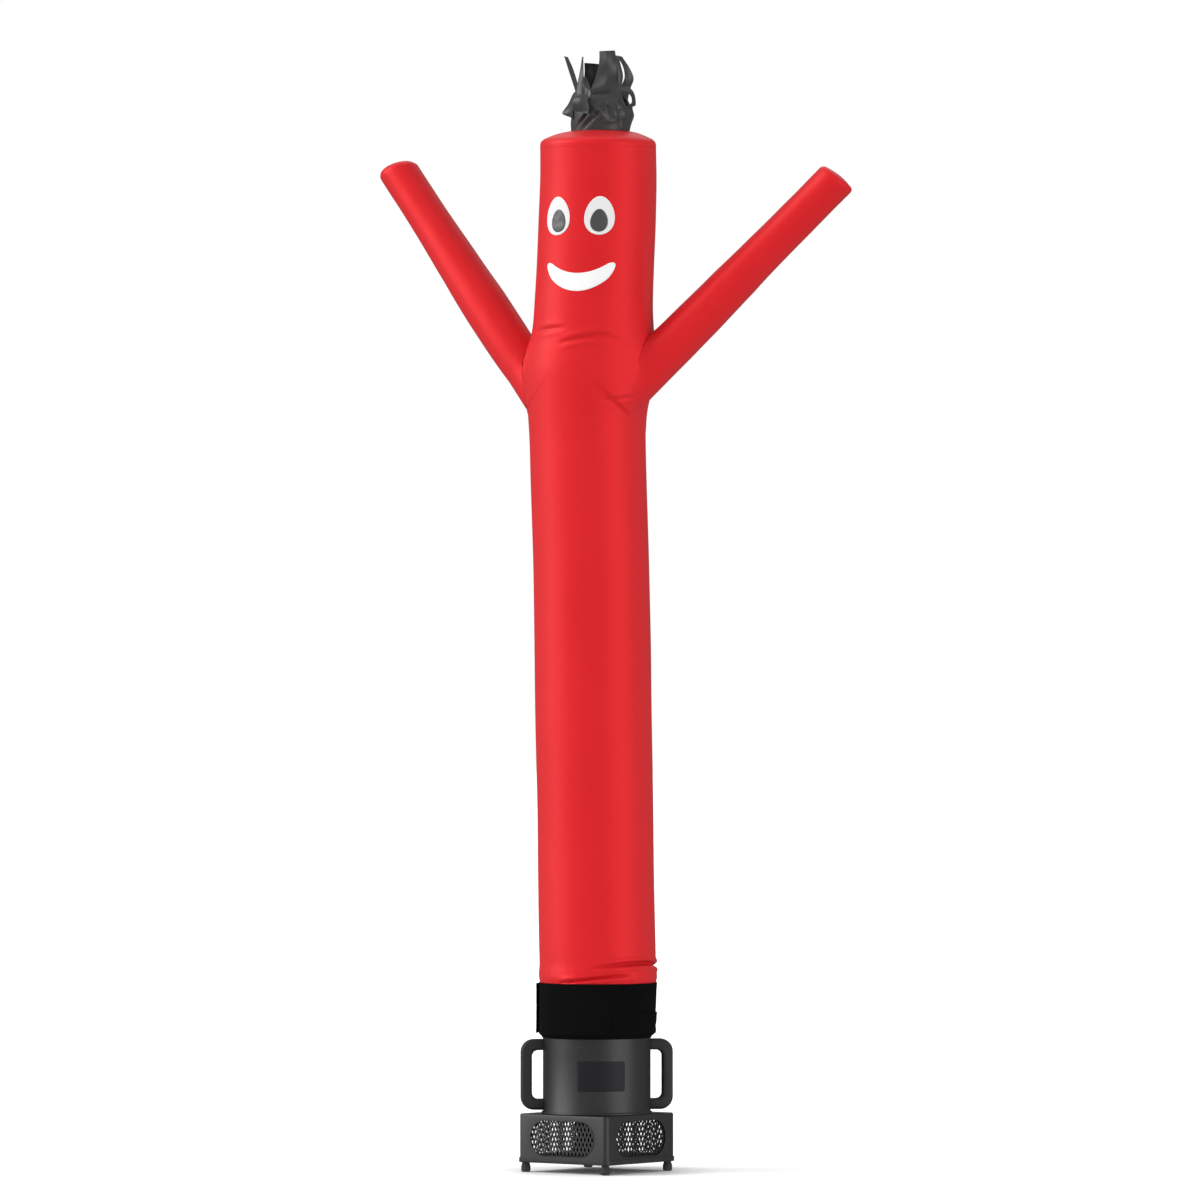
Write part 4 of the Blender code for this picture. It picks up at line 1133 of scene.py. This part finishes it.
def spun(profile, sides, closed=True):
    # A turned shape from points of radius and height.
    bm = bmesh.new()
    points = [bm.verts.new((0.0, -radius, height)) for radius, height in profile]
    edges = [bm.edges.new(pair) for pair in zip(points, points[1:])]
    if closed:
        edges.append(bm.edges.new((points[-1], points[0])))
    bmesh.ops.spin(bm, geom=points + edges, cent=(0, 0, 0), axis=(0, 0, 1), dvec=(0, 0, 0), angle=math.tau,
                   steps=sides, use_merge=True)
    closeSeams(bm)
    bmesh.ops.recalc_face_normals(bm, faces=bm.faces)
    return bm


def makeDrum():
    radius, wall = drum["radius"], drum["wall"]
    inner, low = radius - wall, box["top"] + cadGap
    flange, height = radius + drum["flange"], drum["flangeHeight"]
    profile = [(inner, low), (flange - 0.001, low), (flange, low + 0.001), (flange, low + height - 0.002),
               (flange - 0.0008, low + height - 0.0004), (flange - 0.0022, low + height),
               (radius + 0.0006, low + height + 0.0006), (radius, low + height + 0.0024)]
    profile += [(radius, 0.3300), (radius, 0.3316), (radius, 0.4940), (radius + 0.0012, 0.4955),
                (radius + 0.0012, 0.4990), (radius, drum["top"]), (inner, drum["top"])]
    bm = spun(profile, drum["sides"])
    for angle, level in drum["rivets"]:
        made = bmesh.ops.create_uvsphere(bm, u_segments=16, v_segments=8, radius=drum["rivetRadius"])
        domes = made["verts"]
        bmesh.ops.scale(bm, vec=(1.0, 0.45, 1.0), verts=domes)
        bmesh.ops.translate(bm, vec=(0.0, -radius, level), verts=domes)
        turnAround(bm, math.radians(angle), domes)
    addPiece("drumWall", bm, housingPaint, ("drum",), sharp=32)


def arc(across, up, radius, start, end, steps):
    turns = [math.radians(start + (end - start) * i / steps) for i in range(steps + 1)]
    return [(across + radius * math.cos(turn), up + radius * math.sin(turn)) for turn in turns]


def stadium(length, height, steps):
    radius = height / 2
    reach = length / 2 - radius
    return arc(reach, 0.0, radius, -90, 90, steps) + arc(-reach, 0.0, radius, 90, 270, steps)


def handleOutline():
    root = drum["radius"] - 0.006
    outer = drum["radius"] + handles["reach"] - handles["corner"]
    inner = drum["radius"] + handles["reach"] - handles["bar"] - handles["inner"]
    gripLow, gripHigh = handles["low"] + handles["bar"], handles["high"] - handles["bar"]
    points = [(root, handles["low"])]
    points += arc(outer, handles["low"] + handles["corner"], handles["corner"], -90, 0, 10)
    points += arc(outer, handles["high"] - handles["corner"], handles["corner"], 0, 90, 10)
    points += [(root, handles["high"]), (root, gripHigh)]
    points += arc(inner, gripHigh - handles["inner"], handles["inner"], 90, 0, 7)
    points += arc(inner, gripLow + handles["inner"], handles["inner"], 0, -90, 7)
    points.append((root, gripLow))
    return points


def makeHandles():
    depth = handles["depth"]
    for name, angle in zip(("Left", "Right"), handles["angles"]):
        bm = prism(handleOutline(), -depth / 2, depth / 2)
        bmesh.ops.recalc_face_normals(bm, faces=bm.faces)
        rims = [edge for edge in bm.edges if abs(edge.verts[0].co.y - edge.verts[1].co.y) < 1e-6]
        roundEdges(bm, rims, handles["edge"], 5)
        turnAround(bm, math.radians(angle - 90.0))
        seat = drum["radius"] + cadGap
        for point in bm.verts:
            reach = math.hypot(point.co.x, point.co.y)
            if reach < seat:
                point.co.x *= seat / reach
                point.co.y *= seat / reach
        addPiece("handle" + name, bm, handlePlastic, ("handle_" + name.lower(),), sharp=40)


def makeLabel():
    bm = bmesh.new()
    width = math.radians(2 * label["half"]) * drum["radius"]
    height = label["high"] - label["low"]
    bmesh.ops.create_grid(bm, x_segments=48, y_segments=12, size=1.0)
    corner = label["corner"]
    for point in bm.verts:
        x, z = point.co.x * width / 2, point.co.y * height / 2
        overX, overZ = abs(x) - (width / 2 - corner), abs(z) - (height / 2 - corner)
        if overX > 0 and overZ > 0:
            reach = max(overX, overZ) / max(math.hypot(overX, overZ), 1e-9)
            x = math.copysign(width / 2 - corner + overX * reach, x)
            z = math.copysign(height / 2 - corner + overZ * reach, z)
        edge = min(width / 2 - abs(x), height / 2 - abs(z))
        thick = label["thick"] * math.sqrt(max(0.0, 1.0 - (1.0 - min(edge / 0.001, 1.0)) ** 2))
        angle = math.radians(label["angle"]) + x / drum["radius"]
        reach = drum["radius"] + cadGap + thick + 0.0002
        middle = (label["low"] + label["high"]) / 2
        point.co = Vector((reach * math.sin(angle), -reach * math.cos(angle), middle + z))
    addPiece("labelPlate", bm, labelFilm, ("label_plate",), 0.0005)


def roundedBlock(side, low, high, corner, steps):
    bm = bmesh.new()
    bmesh.ops.create_cube(bm, size=1.0)
    bmesh.ops.scale(bm, vec=(side, side, high - low), verts=bm.verts)
    bmesh.ops.translate(bm, vec=(0, 0, (low + high) / 2), verts=bm.verts)
    upright = [edge for edge in bm.edges if abs(edge.verts[0].co.z - edge.verts[1].co.z) > 1e-6]
    roundEdges(bm, upright, corner, steps)
    return bm


def turnBlower(bm, quarter=0, points=None):
    turnAround(bm, math.pi / 2 * quarter + blowerTurn, points)


def cutterPiece(name, bm):
    mesh = bpy.data.meshes.new(name)
    bmesh.ops.recalc_face_normals(bm, faces=bm.faces)
    bm.to_mesh(mesh)
    bm.free()
    cutter = bpy.data.objects.new(name, mesh)
    bpy.context.scene.collection.objects.link(cutter)
    return cutter


def carve(piece, cutters):
    # The piece's mesh with its modifiers and these cuts made real.
    for cutter in cutters:
        step = piece.modifiers.new("cut", "BOOLEAN")
        step.operation = "DIFFERENCE"
        step.solver = "EXACT"
        step.object = cutter
    graph = bpy.context.evaluated_depsgraph_get()
    mesh = bpy.data.meshes.new_from_object(piece.evaluated_get(graph))
    piece.modifiers.clear()
    old = piece.data
    piece.data = mesh
    bpy.data.meshes.remove(old)
    for cutter in cutters:
        bpy.data.objects.remove(cutter)


def prism(outline, near, far):
    bm = bmesh.new()
    side = bm.faces.new([bm.verts.new((x, near, z)) for x, z in outline])
    moved = bmesh.ops.extrude_face_region(bm, geom=[side])["geom"]
    points = [item for item in moved if isinstance(item, bmesh.types.BMVert)]
    bmesh.ops.translate(bm, vec=(0, far - near, 0), verts=points)
    return bm


def makeBox():
    low = tray["low"] + tray["wall"] + cadGap
    bm = roundedBlock(box["side"], low, box["top"], box["corner"], 8)
    rim = [edge for edge in bm.edges if all(abs(point.co.z - box["top"]) < 1e-6 for point in edge.verts)]
    roundEdges(bm, rim, box["edge"], 4)
    base = [face for face in bm.faces if face.normal.z < -0.9]
    bmesh.ops.delete(bm, geom=base, context="FACES")
    turnBlower(bm)
    piece = addPiece("baseBox", bm, housingPaint, ("base_box",), box["wall"], sharp=30)
    piece.modifiers["wall"].use_even_offset = True
    cutters = []
    outline = [(x, z + box["windowMiddle"]) for x, z in stadium(box["windowLength"], box["windowHeight"], 14)]
    for quarter in range(2):
        bm = prism(outline, -box["side"], box["side"])
        turnBlower(bm, quarter)
        cutters.append(cutterPiece("windowCut" + str(quarter), bm))
    bm = bmesh.new()
    bore = drum["radius"] - drum["wall"]
    bmesh.ops.create_cone(bm, cap_ends=True, segments=96, radius1=bore, radius2=bore, depth=0.05)
    bmesh.ops.translate(bm, vec=(0, 0, box["top"]), verts=bm.verts)
    cutters.append(cutterPiece("boreCut", bm))
    carve(piece, cutters)
    soften = piece.modifiers.new("soften", "BEVEL")
    soften.width = 0.0007
    soften.segments = 2
    soften.limit_method = "ANGLE"
    soften.angle_limit = math.radians(40)
    soften.harden_normals = False
    piece.data.shade_smooth()
    piece.data.set_sharp_from_angle(angle=math.radians(30))


def makeWindowLips():
    # A thin rolled rim round each window.
    half = box["side"] / 2
    bm = bmesh.new()
    for quarter in range(4):
        rings = []
        for turn in range(0, 360, 45):
            grow = box["lip"] * (0.5 + 0.5 * math.cos(math.radians(turn)))
            rise = 0.0009 * math.sin(math.radians(turn))
            ring = stadium(box["windowLength"] + 2 * grow - 0.001, box["windowHeight"] + 2 * grow - 0.001, 20)
            rings.append([bm.verts.new((x, -half - 0.0002 - rise, z + box["windowMiddle"])) for x, z in ring])
        made = []
        loops = []
        for ring in rings:
            loops.append([bm.edges.new((ring[i], ring[(i + 1) % len(ring)])) for i in range(len(ring))])
            made += ring
        for first, second in zip(loops, loops[1:] + loops[:1]):
            bmesh.ops.bridge_loops(bm, edges=first + second)
        turnBlower(bm, quarter, made)
    bmesh.ops.recalc_face_normals(bm, faces=bm.faces)
    addPiece("windowLips", bm, housingPaint)


def makeTray():
    side = box["side"] + 2 * (cadGap + tray["wall"])
    bm = roundedBlock(side, tray["low"], tray["high"], box["corner"] + cadGap + tray["wall"], 8)
    foot = [edge for edge in bm.edges if all(abs(point.co.z - tray["low"]) < 1e-6 for point in edge.verts)]
    roundEdges(bm, foot, tray["edge"], 4)
    lid = [face for face in bm.faces if face.normal.z > 0.9]
    bmesh.ops.delete(bm, geom=lid, context="FACES")
    turnBlower(bm)
    piece = addPiece("baseTray", bm, housingPaint, ("base_tray",), tray["wall"], sharp=30)
    piece.modifiers["wall"].use_even_offset = True


def stadiumReach(x, z, grow):
    # How far a point lies outside a window's round-ended outline, grown by grow.
    radius = box["windowHeight"] / 2 + grow
    reach = box["windowLength"] / 2 - box["windowHeight"] / 2
    overX = max(0.0, abs(x) - reach)
    return math.hypot(overX, z) - radius, overX, reach, radius


def makeGrilles():
    # Expanded metal: staggered diamonds, each a thin frame whose strands lean.
    half = box["side"] / 2 - box["wall"] - cadGap
    wide, tall, strand = grille["wide"], grille["tall"], grille["strand"]
    for number in range(4):
        bm = bmesh.new()
        openings = []
        for row in range(-6, 7):
            for column in range(-12, 13):
                x, z = (column + (row % 2) / 2) * wide, row * tall / 2
                if stadiumReach(x, z, grille["lap"] - 0.001)[0] > 0.0:
                    continue
                corners = ((x + wide / 2, z), (x, z + tall / 2), (x - wide / 2, z), (x, z - tall / 2))
                diamond = bm.faces.new([bm.verts.new((a, 0.0, b)) for a, b in corners])
                diamond.normal_update()
                bmesh.ops.inset_region(bm, faces=[diamond], thickness=strand / 2, use_boundary=True,
                                       use_even_offset=True)
                openings.append(diamond)
        bmesh.ops.delete(bm, geom=openings, context="FACES")
        closeSeams(bm, 1e-4)
        for point in bm.verts:
            out, overX, reach, radius = stadiumReach(point.co.x, point.co.z, grille["lap"] - 0.0005)
            if out > 0.0:
                scale = radius / (out + radius)
                point.co.x = math.copysign(min(abs(point.co.x), reach) + overX * scale, point.co.x)
                point.co.z *= scale
            point.co.y = -half + grille["wave"] * math.sin(point.co.z / tall * math.tau * 2.0)
        bmesh.ops.translate(bm, vec=(0, 0.0005, box["windowMiddle"]), verts=bm.verts)
        bmesh.ops.recalc_face_normals(bm, faces=bm.faces)
        if sum(face.normal.y for face in bm.faces) > 0:
            bmesh.ops.reverse_faces(bm, faces=bm.faces)
        turnBlower(bm, number)
        side = str(number + 1)
        addPiece("grille" + side, bm, meshSteel, ("grille_" + side,), grille["thick"],
                 sharp=40)


def makeFeet():
    for number, angle in enumerate((45, 135, 225, 315), 1):
        bm = spun(footRows, feet["sides"], closed=False)
        turn = math.radians(angle) + blowerTurn
        spot = (feet["ring"] * math.sin(turn), -feet["ring"] * math.cos(turn), 0.0)
        bmesh.ops.translate(bm, vec=spot, verts=bm.verts)
        addPiece("foot" + str(number), bm, footRubber, ("foot_" + str(number),), sharp=50)


def makeGland():
    radius, length = gland["radius"], gland["length"]
    profile = ((0.0, 0.0), (radius, 0.0), (radius, 0.004), (radius * 0.82, 0.0046), (radius * 0.80, 0.0095),
               (radius * 0.88, 0.0100), (radius * 0.86, 0.0135), (radius * 0.60, length - 0.0008),
               (radius * 0.50, length), (radius * 0.34, length), (radius * 0.34, length - 0.006),
               (0.0, length - 0.006))
    bm = spun(profile, 48, closed=False)
    bmesh.ops.rotate(bm, cent=(0, 0, 0), matrix=Matrix.Rotation(math.radians(-90.0), 3, "X"), verts=bm.verts)
    bmesh.ops.translate(bm, vec=(gland["across"], box["side"] / 2 + cadGap, gland["height"]), verts=bm.verts)
    turnBlower(bm)
    addPiece("cableGland", bm, footRubber, ("cable_gland",), sharp=35)


makeDrum()
makeHandles()
makeLabel()
makeBox()
makeWindowLips()
makeTray()
makeGrilles()
makeFeet()
makeGland()
print("blower made")


# Camera, lights and floor

camera = {"turn": 20.0, "distance": 27.65, "height": 1.634, "shift": 0.0093, "lens": 290.0}
lights = (
    # name turn elevation strength spread
    ("keyLight", -82.0, 24.0, 2.78, 48.0),
    ("fillLight", 52.0, 3.0, 1.36, 46.0),
    ("topLight", -20.0, 75.0, 0.25, 60.0),
    ("backLight", 175.0, 48.0, 0.60, 60.0),
)
# lift is the strength of the floor paper's painted glow.
world = {"seen": 1.0, "front": 0.70, "behind": 0.16, "down": 0.10, "lift": 0.26}


def makeStudio():
    scene = bpy.context.scene
    scene.view_settings.view_transform = "Standard"
    turn = math.radians(camera["turn"])
    toward = Vector((math.sin(turn), -math.cos(turn), 0.0))
    right = Vector((math.cos(turn), math.sin(turn), 0.0))
    data = bpy.data.cameras.new("camera")
    data.lens = camera["lens"]
    data.sensor_width = 36.0
    data.clip_end = 200.0
    eye = bpy.data.objects.new("camera", data)
    level = Vector((0.0, 0.0, camera["height"]))
    eye.location = toward * camera["distance"] + right * camera["shift"] + level
    eye.rotation_euler = (math.pi / 2, 0.0, turn)
    scene.collection.objects.link(eye)
    scene.camera = eye
    for name, side, up, strength, spread in lights:
        sun = bpy.data.lights.new(name, "SUN")
        sun.energy = strength
        sun.angle = math.radians(spread)
        lamp = bpy.data.objects.new(name, sun)
        around, rise = turn + math.radians(side), math.radians(up)
        way = Vector((math.sin(around) * math.cos(rise), -math.cos(around) * math.cos(rise), math.sin(rise)))
        lamp.rotation_euler = way.to_track_quat("Z", "Y").to_euler()
        scene.collection.objects.link(lamp)
    sky = bpy.data.worlds.new("studio")
    sky.use_nodes = True
    nodes, links = sky.node_tree.nodes, sky.node_tree.links
    shade = nodes["Background"]
    path = nodes.new("ShaderNodeLightPath")
    place = nodes.new("ShaderNodeTexCoord")
    facing = nodes.new("ShaderNodeVectorMath")
    facing.operation = "DOT_PRODUCT"
    facing.inputs[1].default_value = (toward - Vector((0.0, 0.0, world["down"]))).normalized()
    links.new(place.outputs["Generated"], facing.inputs[0])
    room = nodes.new("ShaderNodeMapRange")
    room.inputs["From Min"].default_value = -0.8
    room.inputs["From Max"].default_value = 0.5
    room.inputs["To Min"].default_value = world["behind"]
    room.inputs["To Max"].default_value = world["front"]
    links.new(facing.outputs["Value"], room.inputs["Value"])
    bright = nodes.new("ShaderNodeMapRange")
    bright.inputs["To Max"].default_value = world["seen"]
    links.new(room.outputs[0], bright.inputs["To Min"])
    links.new(path.outputs["Is Camera Ray"], bright.inputs["Value"])
    links.new(bright.outputs[0], shade.inputs["Strength"])
    shade.inputs["Color"].default_value = (1.0, 1.0, 1.0, 1.0)
    scene.world = sky
    bm = bmesh.new()
    bmesh.ops.create_grid(bm, x_segments=1, y_segments=1, size=60.0)
    mesh = bpy.data.meshes.new("floor")
    bm.to_mesh(mesh)
    bm.free()
    paper = Finish("floorPaper", {
        "Roughness": 0.9,
        "Specular IOR Level": 0.1,
        "Emission Strength": world["lift"],
    })
    place = paper.objectPlace()
    fibre = paper.mottle(place, 30.0, 3.0)
    paper.feed("Base Color", paper.mixed(fibre, colour(0.94, 0.94, 0.94), colour(0.97, 0.97, 0.97)))
    # Painted light: the paper glows beyond 0.36 m from the dancer's axis and not at all within 0.20 m, which
    # leaves a painted contact shadow dark round the blower.
    away = paper.node("VectorMath", {"operation": "LENGTH"}, {0: place}, "Value")
    paper.feed("Emission Color", paper.mixed(paper.ramp(away, 0.20, 0.36), colour(0, 0, 0), colour(1, 1, 1)))
    mesh.materials.append(paper.material)
    ground = bpy.data.objects.new("floor", mesh)
    ground.visible_diffuse = False    # so that the floor's brightness doesn't wash out the object
    ground.visible_glossy = False
    ground.visible_shadow = False
    scene.collection.objects.link(ground)


makeStudio()
print("studio made")
